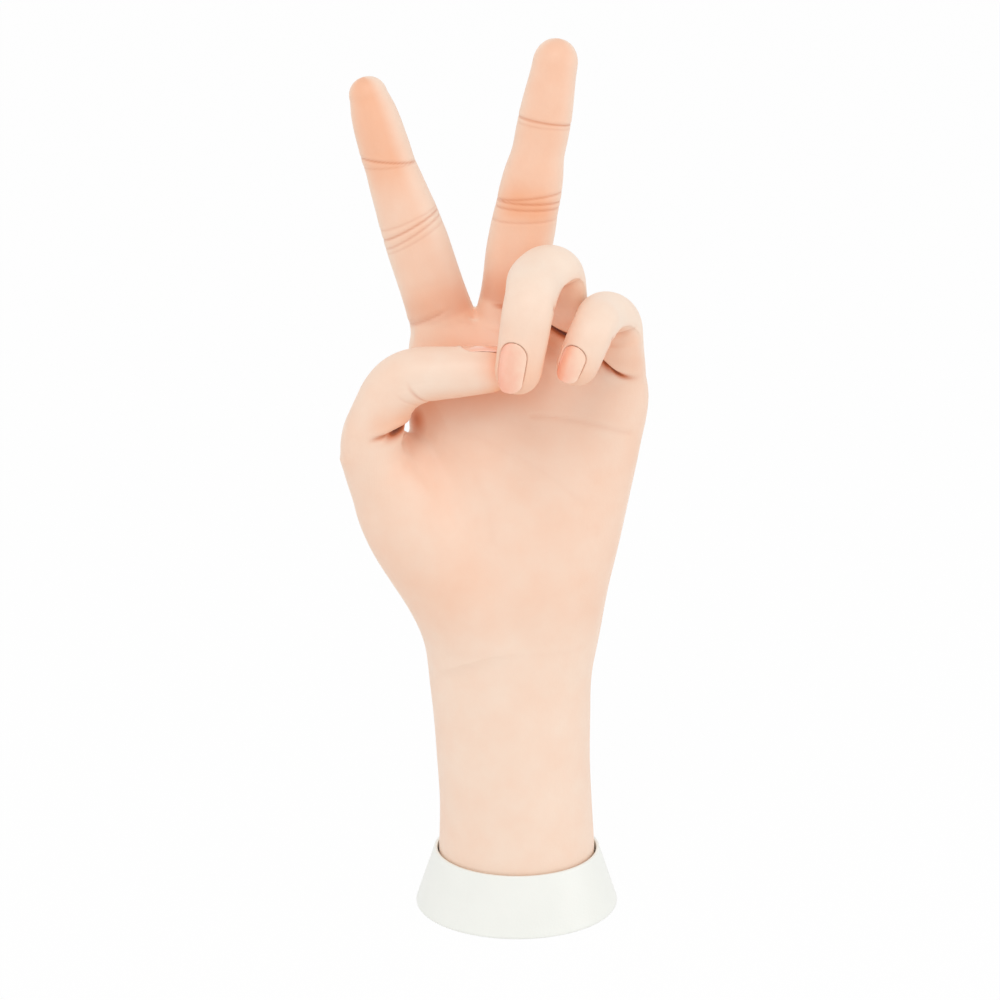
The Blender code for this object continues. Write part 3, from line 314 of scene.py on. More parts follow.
class Line:
    """A centre line with a radius along it, and the direction across it at each point."""

    def __init__(self, points, radii, side):
        steps = np.linalg.norm(np.diff(points, axis=0), axis=1)
        reach = np.concatenate(([0.0], np.cumsum(steps)))
        count = int(reach[-1] / LINE_STEP) + 2
        self.along = np.linspace(0.0, reach[-1], count)
        self.points = np.stack([np.interp(self.along, reach, points[:, i]) for i in range(3)], axis=1)
        self.tangents = unit(np.gradient(self.points, axis=0))
        self.radii = np.interp(self.along, reach, radii)
        self.across = unit(side - self.tangents * (self.tangents @ side)[:, None])
        self.backs = np.cross(self.tangents, self.across)

    def at(self, on):
        """The centre and the two directions across it at distances along the line."""
        centre, across, backs = (
            np.stack([np.interp(on, self.along, rows[:, i]) for i in range(3)], axis=1)
            for rows in (self.points, self.across, self.backs))
        return centre, unit(across), unit(backs)

    def nearest(self, p, first, last):
        """The nearest sample between two distances along the line, for each point."""
        i = np.nonzero((self.along >= first) & (self.along <= last))[0][::3]
        best = np.empty(len(p), int)
        for start in range(0, len(p), 20000):
            part = p[start:start + 20000]
            gaps = ((part[:, None, :] - self.points[None, i]) ** 2).sum(axis=2)
            best[start:start + 20000] = i[gaps.argmin(axis=1)]
        return best

    def local(self, p, i):
        """Distance along the line, and sideways and backward offsets from it, near given samples."""
        q = p - self.points[i]
        on = (q * self.tangents[i]).sum(axis=1)
        return self.along[i] + on, (q * self.across[i]).sum(axis=1), (q * self.backs[i]).sum(axis=1)


class Digit(Line):
    """A finger or the thumb: its bends rounded to arcs, measured along from its knuckle."""

    def __init__(self, name, knuckle, root_aim, spans, bends, radii, root_end, nail):
        self.name = name
        self.aims = [aim(*root_aim)] + [aim(side, forward) for _, side, forward in spans]
        self.lengths = [length for length, _, _ in spans]
        self.root_end = root_end
        self.nail_length, self.nail_back, self.nail_spread, self.nail_roll = nail
        corners = [np.array(knuckle)]
        for length, direction in zip(self.lengths, self.aims[1:]):
            corners.append(corners[-1] + direction * length)
        self.knuckle = corners[0]
        self.tip = corners[-1]
        points = [corners[0] - self.aims[0] * TAIL]
        stations = [-1.0]
        for joint, reach in enumerate(bends):
            u, v = self.aims[joint], self.aims[joint + 1]
            turn = max(math.acos(min(1.0, float(u @ v))), 1e-3)
            inside = unit(v - u * math.cos(turn))
            radius = reach / math.tan(turn / 2)
            middle = corners[joint] - u * reach + inside * radius
            for share in np.linspace(0.0, 1.0, 33):
                angle = share * turn
                points.append(middle - inside * radius * math.cos(angle) + u * radius * math.sin(angle))
                off = (2 * share - 1) * reach
                stations.append(joint + off / self.lengths[max(joint - 1, 0) if off < 0 else joint])
        points.append(self.tip)
        stations.append(float(len(spans)))
        points, stations = np.array(points), np.array(stations)
        last_u, last_v = self.aims[-2], self.aims[-1]
        bent = last_u @ last_v < math.cos(math.radians(20.0))
        side = unit(np.cross(last_u, last_v if bent else np.array((0.0, -1.0, 0.0))))
        super().__init__(points, stations, side)
        fine = self.radii
        taper = 1.0 - TAIL_TAPER + TAIL_TAPER * ease(self.along, 0.0, 0.0160)
        self.radii = flow(np.clip(fine, 0.0, None), *zip(*radii)) * taper
        self.joints = [float(np.interp(j, fine, self.along)) for j in range(len(bends))]
        nail_station = len(spans) - self.nail_back / self.lengths[-1]
        self.nail_outer = float(flow(np.array([nail_station]), *zip(*radii))[0])
        self.shift = self.joints[0]
        self.stop = self.shift + root_end
        self.end = self.along[-1]


INDEX = Digit(
    "index", (-0.0188, 0.0010, 0.1720), (-17.6, 1.0),
    ((0.0384, -17.6, 1.3), (0.0191, -19.0, 0.6), (0.0267, -16.4, 0.0)), (0.0125, 0.0080, 0.0065),
    ((0.0, 0.0105), (0.4, 0.0094), (1.0, 0.0091), (1.5, 0.0082), (2.0, 0.0075), (2.3, 0.0072),
     (2.5, 0.0069), (2.65, 0.0064), (2.8, 0.0055), (3.0, 0.0048)),
    0.0215, (0.0108, 0.0128, 46.0, 0.0),
)
MIDDLE = Digit(
    "middle", (-0.0048, 0.0010, 0.1750), (10.7, 1.0),
    ((0.0404, 10.7, 1.2), (0.0237, 11.2, 0.5), (0.0257, 10.2, 0.0)), (0.0120, 0.0080, 0.0068),
    ((0.0, 0.0098), (0.3, 0.0086), (0.7, 0.0094), (1.0, 0.0092), (1.4, 0.0086), (1.7, 0.0076),
     (2.0, 0.0078), (2.3, 0.0073), (2.6, 0.0066), (3.0, 0.0063)),
    0.0222, (0.0114, 0.0134, 46.0, 0.0),
)
RING = Digit(
    "ring", (0.0150, 0.0010, 0.1685), (9.0, 0.0),
    ((0.0362, -6.7, 26.6), (0.0245, -18.0, 101.0), (0.0272, -9.0, 175.5)), (0.0110, 0.0078, 0.0070),
    ((0.0, 0.0088), (0.4, 0.0078), (0.7, 0.0079), (1.0, 0.0084), (2.0, 0.0074), (2.6, 0.0068),
     (3.0, 0.0064)),
    0.0242, (0.0144, 0.0150, 37.0, 7.0),
)
LITTLE = Digit(
    "little", (0.0303, 0.0005, 0.1610), (18.0, 0.0),
    ((0.0287, -4.2, 28.5), (0.0202, -19.7, 86.4), (0.0181, -22.5, 172.2)), (0.0100, 0.0072, 0.0062),
    ((0.0, 0.0080), (0.5, 0.0075), (1.0, 0.0075), (2.0, 0.0064), (2.6, 0.0060), (3.0, 0.0056)),
    0.0200, (0.0106, 0.0109, 39.0, 9.0),
)
THUMB = Digit(
    "thumb", (-0.0440, -0.0180, 0.1470), (-28.0, 13.0),
    ((0.0257, 21.7, 9.7), (0.0333, 82.6, 54.5)), (0.0080, 0.0092),
    ((0.0, 0.0096), (0.5, 0.0091), (1.0, 0.0085), (1.6, 0.0075), (2.0, 0.0063)),
    0.0155, (0.0134, 0.0146, 48.0, -34.0),
)
FINGERS = (INDEX, MIDDLE, RING, LITTLE)
DIGITS = FINGERS + (THUMB,)


def swell_line(start, end, swell, side):
    """A short thick muscle or fold: a straight line with a radius along it."""
    start, end = np.array(start), np.array(end)
    shares = np.linspace(0.0, 1.0, 41)
    return Line(start + (end - start) * shares[:, None], flow(shares, *zip(*swell)), np.array(side))


THENAR = swell_line(THENAR_START, THUMB.knuckle - THUMB.aims[0] * THENAR_SHORT, THENAR_SWELL,
                    (0.0, 1.0, 0.0))
FOLD = swell_line(FOLD_START, FOLD_END, FOLD_SWELL, (1.0, 0.0, 0.0))


def melt(a, b, softness):
    """Join two surfaces' distances with a fillet."""
    h = np.clip(0.5 + 0.5 * (b - a) / softness, 0.0, 1.0)
    return b + (a - b) * h - softness * h * (1.0 - h)


def palm_gap(p):
    """Rough distance outside the forearm and palm."""
    level = p[:, 2]
    for _ in range(3):
        level = p[:, 2] - WEB_SLOPE * ease(level, WEB_SLOPE_FROM, WEB_SLOPE_FULL) * (p[:, 0] - WEB_MIDDLE)
    heights = [s[0] for s in PALM_SECTIONS]
    inside = np.clip(level, heights[0], heights[-1])
    left, right, front, back, squareness = (
        flow(inside, heights, [s[i] for s in PALM_SECTIONS]) for i in range(1, 6))
    x = p[:, 0] - (left + right) / 2
    y = p[:, 1] - (front + back) / 2
    norm = ((np.abs(x) / ((right - left) / 2)) ** squareness
            + (np.abs(y) / ((back - front) / 2)) ** squareness) ** (1 / squareness)
    norm = np.maximum(norm, 1e-3)
    sides = np.hypot(x, y) * (1.0 - 1.0 / norm)
    capped = np.maximum(level - heights[-1], heights[0] - p[:, 2])
    return -melt(-sides, -capped, 0.0015)


def line_gap(line, p, i, first, last, flatness=1.0, depth=1.0):
    """Distance outside a line's tube, and where along and across it the points are."""
    on, across, back = line.local(p, i)
    radius = np.interp(on, line.along, line.radii)
    side = np.hypot(across / flatness, back / depth) - radius
    return np.maximum(side, np.maximum(on - last, first - on)), on, across, back


def hand_gap(p, marks):
    """Distance outside the whole skin of forearm, palm and roots; marks are nearest samples on each line."""
    gap = palm_gap(p)
    muscle = line_gap(THENAR, p, marks["thenar"], 0.0, THENAR.along[-1] + 0.002, THENAR_FLATNESS)[0]
    gap = melt(gap, muscle, 0.0090)
    fold = line_gap(FOLD, p, marks["fold"], 0.0, FOLD.along[-1] + 0.001)[0]
    gap = melt(gap, fold, 0.0050)
    for digit in DIGITS:
        last = digit.stop + 0.002
        finger, on, _, back = line_gap(digit, p, marks[digit.name], 0.0, last, depth=DEPTH_RATIO)
        past = on - digit.shift - digit.root_end
        edge = ease(on - digit.shift, 0.0040, 0.0090) * (1.0 - ease(np.abs(back), 0.0030, 0.0065))
        softness = WEB_SOFTNESS + (WEB_EDGE_SOFTNESS - WEB_SOFTNESS) * edge
        softness = softness + (0.0002 - softness) * ease(past, -0.0070, -0.0010)
        gap = melt(gap, finger, softness)
    return gap


def nearest_marks(p):
    marks = {"thenar": THENAR.nearest(p, 0.0, 1.0), "fold": FOLD.nearest(p, 0.0, 1.0)}
    for digit in DIGITS:
        marks[digit.name] = digit.nearest(p, 0.0, digit.stop + 0.003)
    return marks


def settle(p, rounds=1):
    """Move points onto the skin's surface."""
    for _ in range(rounds):
        marks = nearest_marks(p)
        gap = hand_gap(p, marks)
        tiny = 2e-5
        slope = np.stack([(hand_gap(p + np.eye(3)[i] * tiny, marks) - gap) / tiny for i in range(3)], axis=1)
        step = gap / np.maximum((slope ** 2).sum(axis=1), 0.2)
        p = p - slope * np.clip(step, -0.001, 0.001)[:, None]
    return p


def full_turn(count):
    """Angles round a loop, the last one the same as the first."""
    turns = np.linspace(0.0, math.tau, count + 1)
    turns[-1] = 0.0
    return turns


def grid_mesh(points):
    """A sheet of quads through a grid of points."""
    rows, columns = points.shape[:2]
    bm = bmesh.new()
    bmesh.ops.create_grid(bm, x_segments=columns - 1, y_segments=rows - 1, size=1.0)
    mesh = to_mesh("step", bm)
    mesh.vertices.foreach_set("co", points.ravel())
    return mesh


def welded(mesh, reach):
    """The same sheet for editing, joined where its edges meet."""
    bm = bmesh.new()
    bm.from_mesh(mesh)
    bpy.data.meshes.remove(mesh)
    bmesh.ops.remove_doubles(bm, verts=bm.verts, dist=reach)
    return bm


def pointed(rings, first, last):
    """A stack of rings whose two ends come to a point."""
    columns = rings.shape[1]
    return np.concatenate([np.tile(first, (1, columns, 1)), rings, np.tile(last, (1, columns, 1))])


def tube(centre, across, back, radius, turn, flatness=1.0, depth=1.0):
    """Rings of points at a radius and an angle round a centre line."""
    return (centre[:, None] + across[:, None] * (radius * np.cos(turn) * flatness)[..., None]
            + back[:, None] * (radius * np.sin(turn) * depth)[..., None])


def ring_points(line, on, around, flatness=1.0, depth=1.0):
    """Rings of points round a line at given distances along it, with closed ends."""
    centre, across, back = line.at(on)
    radius = np.interp(on, line.along, line.radii)[:, None]
    rings = tube(centre, across, back, radius, full_turn(around), flatness, depth)
    return pointed(rings, centre[0], centre[-1])


def palm_rings():
    """Rings of points round the forearm and palm, the top ones sloping with the web."""
    rings = []
    turns = full_turn(96)
    heights = [s[0] for s in PALM_SECTIONS]
    for height in np.linspace(heights[0], heights[-1], 70):
        left, right, front, back, n = (
            flow(np.array([height]), heights, [s[i] for s in PALM_SECTIONS])[0] for i in range(1, 6))
        c, s = np.cos(turns), np.sin(turns)
        x = (left + right) / 2 + (right - left) / 2 * np.sign(c) * np.abs(c) ** (2 / n)
        y = (front + back) / 2 + (back - front) / 2 * np.sign(s) * np.abs(s) ** (2 / n)
        slope = WEB_SLOPE * ease(height, WEB_SLOPE_FROM, WEB_SLOPE_FULL)
        rings.append(np.stack([x, y, height + slope * (x - WEB_MIDDLE)], axis=1))
    rings = np.array(rings)
    return pointed(rings, rings[0].mean(axis=0), rings[-1].mean(axis=0))


def rough_hand():
    """The overlapping rough solids, melted into one by a voxel remesh."""
    together = bmesh.new()
    parts = [palm_rings(),
             ring_points(THENAR, np.linspace(0.0, THENAR.along[-1], 20), 40, THENAR_FLATNESS),
             ring_points(FOLD, np.linspace(0.0, FOLD.along[-1], 14), 32)]
    for digit in DIGITS:
        last = digit.stop + 0.002
        parts.append(ring_points(digit, np.linspace(0.004, last, 44), 48, depth=DEPTH_RATIO))
    for points in parts:
        bm = welded(grid_mesh(points), 2e-7)
        bmesh.ops.recalc_face_normals(bm, faces=bm.faces)
        step = to_mesh("step", bm)
        together.from_mesh(step)
        bpy.data.meshes.remove(step)
    rough = put_in_scene("rough_hand", to_mesh("rough_hand", together))
    remesh = rough.modifiers.new("remesh", "REMESH")
    remesh.mode = "VOXEL"
    remesh.voxel_size = SKIN_GRAIN
    bpy.context.view_layer.update()
    graph = bpy.context.evaluated_depsgraph_get()
    mesh = bpy.data.meshes.new_from_object(rough.evaluated_get(graph))
    bpy.data.objects.remove(rough, do_unlink=True)
    return mesh


def relax(p, edges, rounds):
    """Even out the facets, back on the surface after each round."""
    count = np.zeros(len(p))
    np.add.at(count, edges.ravel(), 1.0)
    for _ in range(rounds):
        total = np.zeros_like(p)
        np.add.at(total, edges[:, 0], p[edges[:, 1]])
        np.add.at(total, edges[:, 1], p[edges[:, 0]])
        p = settle(p + 0.6 * (total / count[:, None] - p))
    return p


# Creases of the palm: places on its front in side and height, then depth, width and colour, the colour being
# painted shade in them
PALM_CREASES = (
    (((0.0040, 0.1562), (0.0100, 0.1558), (0.0170, 0.1546), (0.0240, 0.1527), (0.0325, 0.1497)),
     0.00018, 0.0010, 0.06),
    (((-0.0290, 0.1500), (-0.0200, 0.1470), (-0.0130, 0.1400), (-0.0085, 0.1300), (-0.0070, 0.1190)),
     0.00006, 0.0013, 0.015),
    (((-0.0240, 0.1530), (-0.0120, 0.1500), (0.0000, 0.1440), (0.0100, 0.1380), (0.0190, 0.1300)),
     0.00010, 0.0012, 0.02),
    (((-0.0200, 0.0846), (-0.0070, 0.0848), (0.0080, 0.0846), (0.0190, 0.0850)),
     0.00004, 0.0016, 0.012),
)
# Creases of the finger roots: digit, distance past the knuckle, slant, depth, width and colour, then
# where across the palm side each starts and ends and how gradually. Their colour is painted shade in them.
ROOT_CREASES = (
    (INDEX, 0.0135, 0.16, 0.00026, 0.0008, 0.22, -0.0120, 0.0026, 0.0030),
    (MIDDLE, 0.0120, 0.06, 0.00036, 0.0009, 0.50, -0.0040, 0.0120, 0.0024),
    (RING, 0.0171, -0.62, 0.00180, 0.0018, 1.00, -0.0048, 0.0050, 0.0016),
    (LITTLE, 0.0131, -0.66, 0.00100, 0.0011, 0.90, -0.0060, 0.0052, 0.0030),
    (LITTLE, 0.0131, -0.66, 0.00110, 0.0019, 1.00, -0.0060, 0.0002, 0.0024),
    (THUMB, 0.0071, 0.64, 0.00100, 0.0010, 0.50, 0.0010, 0.0140, 0.0022),
    (THUMB, 0.0069, 0.62, 0.00130, 0.0022, 1.00, 0.0050, 0.0140, 0.0022),
)
PALM_HOLLOW = 0.0012
KNUCKLE_RISE = 0.0016
TENDON_RISE = 0.0005
# Warmer patches of the palm's front: side, height, size and how much. The two at the web between the index
# and middle fingers are painted shade.
WARM_PATCHES = (
    (-0.021, 0.106, 0.012, 0.14), (-0.012, 0.184, 0.012, 0.12), (-0.015, 0.186, 0.004, 0.20),
    (0.006, 0.158, 0.018, 0.12),
)
# Shade and warm light on the palm under the bent digits: darkness, its reach, and glow
UNDER_DIGITS = ((RING, 0.20, 0.0170, 0.50), (LITTLE, 0.04, 0.0090, 0.30), (THUMB, 0.40, 0.0170, 0.36))
# Small spots of painted shade beside the thumb and the ring finger: side, height, width, tallness and
# darkness
PAINTED_SHADE_SPOTS = ((-0.0295, 0.1535, 0.0026, 0.0042, 0.55), (0.0100, 0.1765, 0.0035, 0.0060, 0.32))


def polyline_gap(x, z, line):
    best = np.full(len(x), 1.0)
    for (x0, z0), (x1, z1) in zip(line, line[1:]):
        dx, dz = x1 - x0, z1 - z0
        t = np.clip(((x - x0) * dx + (z - z0) * dz) / (dx * dx + dz * dz), 0.0, 1.0)
        best = np.minimum(best, np.hypot(x - x0 - t * dx, z - z0 - t * dz))
    return best


def hand_relief(p, normals):
    """Depth to carve, colour of the creases and painted shade, and warmth of the skin with painted shade and
    warm light, at each point of palm and roots.
    """
    depth = np.zeros(len(p))
    crease = np.zeros(len(p))
    facing = ease(-normals[:, 1], 0.15, 0.6)
    for line, deep, width, tone in PALM_CREASES:
        gap = polyline_gap(p[:, 0], p[:, 2], line)
        depth += deep * hill(gap, width) * facing
        crease = np.maximum(crease, tone * hill(gap, width * 0.75) * facing)
    marks = nearest_marks(p)
    for digit, past, slant, deep, width, tone, first, last, fade in ROOT_CREASES:
        gap, on, across, back = line_gap(digit, p, marks[digit.name], 0.0, 1.0, depth=DEPTH_RATIO)
        own = 1.0 - ease(np.abs(gap), 0.0020, 0.0050)
        front, side, low = (-across, -back, -0.50) if digit is THUMB else (-back, across, -0.25)
        palmar = ease(front / np.maximum(np.hypot(across, back), 1e-6), low, low + 0.50)
        palmar *= ease(side, first - fade, first + fade) * (1.0 - ease(side, last - fade, last + fade))
        palmar *= 1.0 - ease(on - digit.shift - digit.root_end, -0.0016, -0.0002)
        off = on - digit.shift - past - slant * side
        depth += deep * (hill(off, width) - 0.35 * hill(off - 2.2 * width, 1.5 * width)) * palmar * own
        crease = np.maximum(crease, tone * hill(off, width * 0.9) * palmar * own)
    hollow = np.hypot((p[:, 0] - 0.004) / 0.020, (p[:, 2] - 0.128) / 0.024)
    depth += PALM_HOLLOW * hill(hollow, 0.8) * facing
    behind = ease(normals[:, 1], 0.2, 0.7)
    for digit in FINGERS:
        spot = digit.knuckle - digit.aims[0] * 0.004
        away = np.hypot(p[:, 0] - spot[0], (p[:, 2] - spot[2]) * 0.8)
        depth -= KNUCKLE_RISE * hill(away, 0.0062) * behind
        run = spot - digit.aims[0] * 0.060
        tendon = polyline_gap(p[:, 0], p[:, 2], ((spot[0], spot[2]), (run[0] * 0.6, run[2])))
        depth -= TENDON_RISE * hill(tendon, 0.0022) * behind * ease(p[:, 2], 0.100, 0.130)

    warmth_and_shade = 0.16 + 0.14 * ease(p[:, 2], 0.083, 0.098) * facing
    for x, z, wide, more in WARM_PATCHES:
        warmth_and_shade += more * hill(np.hypot((p[:, 0] - x) / wide, (p[:, 2] - z) / (wide * 0.8)), 1.0) * facing
    shade, glow = np.zeros(len(p)), np.zeros(len(p))
    for digit, dark, reach, light in UNDER_DIGITS:
        near = digit.nearest(p, digit.stop + 0.004, 1.0)
        away = np.linalg.norm(p - digit.points[near], axis=1) - digit.radii[near]
        glow += light * (1.0 - ease(away, 0.0005, 0.0150)) * facing
        below = 1.0 - ease(p[:, 2] - digit.points[near][:, 2], -0.0040, 0.0040) if digit is THUMB else 1.0
        shade = np.maximum(shade, dark * (1.0 - ease(away, 0.0003, reach)) * facing * below)
    gap, on, _, _ = line_gap(THUMB, p, marks["thumb"], 0.0, 1.0, depth=DEPTH_RATIO)
    away = 1.0 - (1.0 - ease(np.abs(gap), 0.0010, 0.0040)) * ease(on - THUMB.shift, -0.0120, -0.0040)
    # Painted warm light and painted shade from the bent digits, kept off the thumb's own root.
    warmth_and_shade += glow * away
    shade = shade * away
    for x, z, wide, high, dark in PAINTED_SHADE_SPOTS:
        shade = np.maximum(shade, dark * hill(np.hypot((p[:, 0] - x) / wide, (p[:, 2] - z) / high), 1.0))
    # A paler patch of painted light on the palm just below the little finger's root, against the shade of
    # its bent tip.
    warmth_and_shade -= 0.30 * hill(np.hypot(p[:, 0] - 0.0268, p[:, 2] - 0.1682), 0.0045) * facing
    for digit in DIGITS:
        gap, on, across, back = line_gap(digit, p, marks[digit.name], 0.0, 1.0, depth=DEPTH_RATIO)
        own = 1.0 - ease(np.abs(gap), 0.0010, 0.0040)
        own = own * ease(on - digit.shift - digit.root_end, -0.0110, 0.0)
        turn = np.arctan2(back, across)
        warmth_and_shade += (finger_warmth_and_shade(digit, on, turn) - warmth_and_shade) * own
        shade = shade * (1.0 - own)
        own = 1.0 - ease(np.abs(gap), 0.0010, 0.0030)
        crease = np.maximum(crease, finger_shade(digit, on, turn) * own)
    # The painted shade also warms the skin's colour, and joins the creases' colour.
    warmth_and_shade = np.clip(warmth_and_shade + 0.5 * shade, 0.0, 1.0)
    return depth, np.maximum(crease, shade), warmth_and_shade


def finger_warmth_and_shade(digit, on, turn):
    """How warm a finger's skin is: deeper on the palm side, and on the two fingers that stand up. Part of it
    is painted shade, warmer at the straight fingers' bases, on the thumb's inner base and at its end, and
    painted light makes the straight fingers' right sides paler.
    """
    height = (on - digit.shift) / (digit.end - digit.shift)
    palmar = ease(-np.sin(turn), 0.15, 1.0)
    tip = ease(height, 0.80, 0.97)
    if digit in (INDEX, MIDDLE):
        # Painted light: the straight fingers' right sides are paler.
        right = ease(np.cos(turn), 0.2, 0.9) * ease(height, 0.15, 0.35)
        if digit is INDEX:
            # Painted shade: the last term warms the finger's base.
            tone = 0.46 + 0.34 * ease(height, 0.55, 0.72) + 0.50 * (1.0 - ease(height, 0.12, 0.30))
            return tone * (0.40 + 0.60 * palmar) * (1.0 - 0.60 * right)
        # Painted shade: the last term warms the finger's base.
        tone = 0.60 + 0.34 * hill(height - 0.47, 0.055) + 0.42 * (1.0 - ease(height, 0.12, 0.28))
        return tone * (0.36 + 0.64 * palmar) * (1.0 - 0.12 * right)
    if digit is THUMB:
        inner = ease(-np.cos(turn), 0.0, 1.0)
        front = inner * (1.0 - ease(height, 0.30, 0.55))
        # Painted shade: warmer on the inner side of the thumb's base.
        fold = 0.40 * hill(height - 0.20, 0.10) * inner * ease(-np.sin(turn), -0.50, 0.30)
        # Painted shade: the thumb is warmer towards its end.
        return 0.16 + 0.36 * palmar + 0.12 * front + fold + 0.60 * tip
    far = (0.28 if digit is RING else 0.16) * ease(height, 0.62, 0.80)
    return 0.02 + 0.48 * ease(-np.sin(turn), -0.30, 0.45) + far + 0.34 * tip


def finger_shade(digit, on, turn):
    """How much painted shade darkens the skin's colour just above the two straight fingers' base creases."""
    height = (on - digit.shift) / (digit.end - digit.shift)
    dark = {"index": 0.12, "middle": 0.24}.get(digit.name, 0.0) * ease(-np.sin(turn), -0.10, 0.60)
    return dark * ease(height, 0.125, 0.150) * (1.0 - ease(height, 0.15, 0.29))


def attribute(tree, name):
    """A value kept on the piece's points."""
    return add_node(tree, "ShaderNodeAttribute", attribute_name=name).outputs["Fac"]


def maths(tree, operation, *values, clamp=False):
    """A sum, product or maximum of texture values and plain numbers."""
    node = add_node(tree, "ShaderNodeMath", enumerate(values), operation=operation, use_clamp=clamp)
    return node.outputs["Value"]


def skin_finish():
    """Skin from pale to warm, the warmth partly painted shade and warm light, its creases and painted shade
    from a warm brown to a deep one, with a fine grain.
    """
    material, tree, shader = new_material("skin_pvc", 0.46, 0.35)
    pale, warm = linear(252, 230, 211), linear(248, 178, 137)
    # The colours of painted shade in creases and under the digits: a warm brown and a deep one.
    fold, deepest_shade = linear(206, 112, 64), linear(84, 22, 4)
    mottle = spread(tree, noise(tree, 95.0, 4.0, 0.55), -0.07, 0.07)
    share = maths(tree, "ADD", attribute(tree, "warmth_and_shade"), mottle, clamp=True)
    tone = blend_colours(tree, share, pale, warm)
    crease = attribute(tree, "crease")
    tone = blend_colours(tree, spread(tree, crease, 0.0, 1.0, 0.0, 0.6), tone, fold)
    tone = blend_colours(tree, spread(tree, crease, 0.0, 1.0, 0.5, 1.0), tone, deepest_shade)
    coat(tree, shader, tone, (700.0, 0.40, 0.52))
    grain = maths(tree, "MULTIPLY_ADD", noise(tree, 1500.0, 3.0, 0.6), 0.35, noise(tree, 420.0, 2.0))
    bumps(tree, shader, grain, 0.00007, 0.7)
    return material


skin = skin_finish()


def values_of(items, name, width=1, kind=float):
    """A value of every point, edge, corner or face of a mesh."""
    values = np.empty(len(items) * width, kind)
    items.foreach_get(name, values)
    return values.reshape(-1, width) if width > 1 else values


def build_hand():
    """The whole smooth surface, its relief carved, its colours and normals kept on points."""
    mesh = rough_hand()
    p = relax(values_of(mesh.vertices, "co", 3), values_of(mesh.edges, "vertices", 2, int), 6)
    p = settle(p, 3)
    mesh.vertices.foreach_set("co", p.ravel())
    mesh.update()
    normals = values_of(mesh.vertex_normals, "vector", 3)
    depth, crease, warmth_and_shade = hand_relief(p, normals)
    p = p - normals * depth[:, None]
    mesh.vertices.foreach_set("co", p.ravel())
    mesh.update()
    keep_on_points(mesh, values_of(mesh.vertex_normals, "vector", 3), warmth_and_shade, crease)
    return mesh


def keep_on_points(mesh, normals, warmth_and_shade, crease):
    mesh.attributes.new("smooth_normal", "FLOAT_VECTOR", "POINT").data.foreach_set("vector", normals.ravel())
    mesh.attributes.new("warmth_and_shade", "FLOAT", "POINT").data.foreach_set("value", warmth_and_shade.ravel())
    mesh.attributes.new("crease", "FLOAT", "POINT").data.foreach_set("value", crease.ravel())


def cap_holes(bm, edges):
    """Close cut edges with flat-shaded faces."""
    if edges:
        made = bmesh.ops.holes_fill(bm, edges=edges, sides=0)
        for face in made["faces"]:
            face.smooth = False
        bmesh.ops.triangulate(bm, faces=made["faces"])


def keep_side(bm, point, normal):
    """Cut by a plane, keep what lies behind it, and close the cut."""
    geom = bm.verts[:] + bm.edges[:] + bm.faces[:]
    made = bmesh.ops.bisect_plane(bm, geom=geom, dist=1e-7, plane_co=point, plane_no=normal,
                                  clear_outer=True)
    cap_holes(bm, [e for e in made["geom_cut"] if isinstance(e, bmesh.types.BMEdge) and e.is_boundary])


def finish_skin(name, bm, replaced):
    """A piece of skin, shaded with the normals of the whole glove so that no seam shows."""
    piece = place_piece(name, bm, skin, replaced)
    mesh = piece.data
    normals = values_of(mesh.attributes["smooth_normal"].data, "vector", 3)
    corners = values_of(mesh.loops, "vertex_index", kind=int)
    smooth = values_of(mesh.polygons, "use_smooth", kind=bool)
    sizes = values_of(mesh.polygons, "loop_total", kind=int)
    flat_normals = np.repeat(values_of(mesh.polygons, "normal", 3), sizes, axis=0)
    on_corners = np.where(np.repeat(smooth, sizes)[:, None], unit(normals[corners] + 1e-12), flat_normals)
    mesh.attributes.remove(mesh.attributes["smooth_normal"])
    mesh.normals_split_custom_set(on_corners.tolist())
    return piece


def cut_frame():
    """The common split below the knuckles and the web planes between neighbouring fingers."""
    low, high = LITTLE.knuckle.copy(), INDEX.knuckle.copy()
    low[2] -= SPLIT_DROP
    high[2] -= SPLIT_DROP
    across = high - low
    across[1] = 0.0
    up = unit(np.cross((0.0, 1.0, 0.0), across))
    up = up if up[2] > 0 else -up
    webs = []
    for a, b in zip(FINGERS, FINGERS[1:]):
        i = np.searchsorted(a.along, a.shift + WEB_CUT)
        j = np.searchsorted(b.along, b.shift + WEB_CUT)
        start, end = a.points[i], b.points[j]
        webs.append((start + (end - start) * a.radii[i] / (a.radii[i] + b.radii[j]), unit(end - start)))
    return low, up, webs


def end_plane(digit):
    """Where a digit's root ends and its swept skin begins."""
    i = np.searchsorted(digit.along, digit.stop)
    return digit.points[i], digit.tangents[i]


def bend_piece(piece, direction):
    """Bake a piece's place into its mesh."""
    direction = unit(direction)
    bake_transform(piece)


def cut_root(mesh, digit, planes, replaced, direction):
    """Cut a digit's root from the one surface."""
    bm = bmesh.new()
    bm.from_mesh(mesh)
    ending = end_plane(digit)
    for plane in (*planes, ending):
        keep_side(bm, *plane)
    root = finish_skin(f"glove_{digit.name}_root", bm, [replaced])
    bend_piece(root, direction)


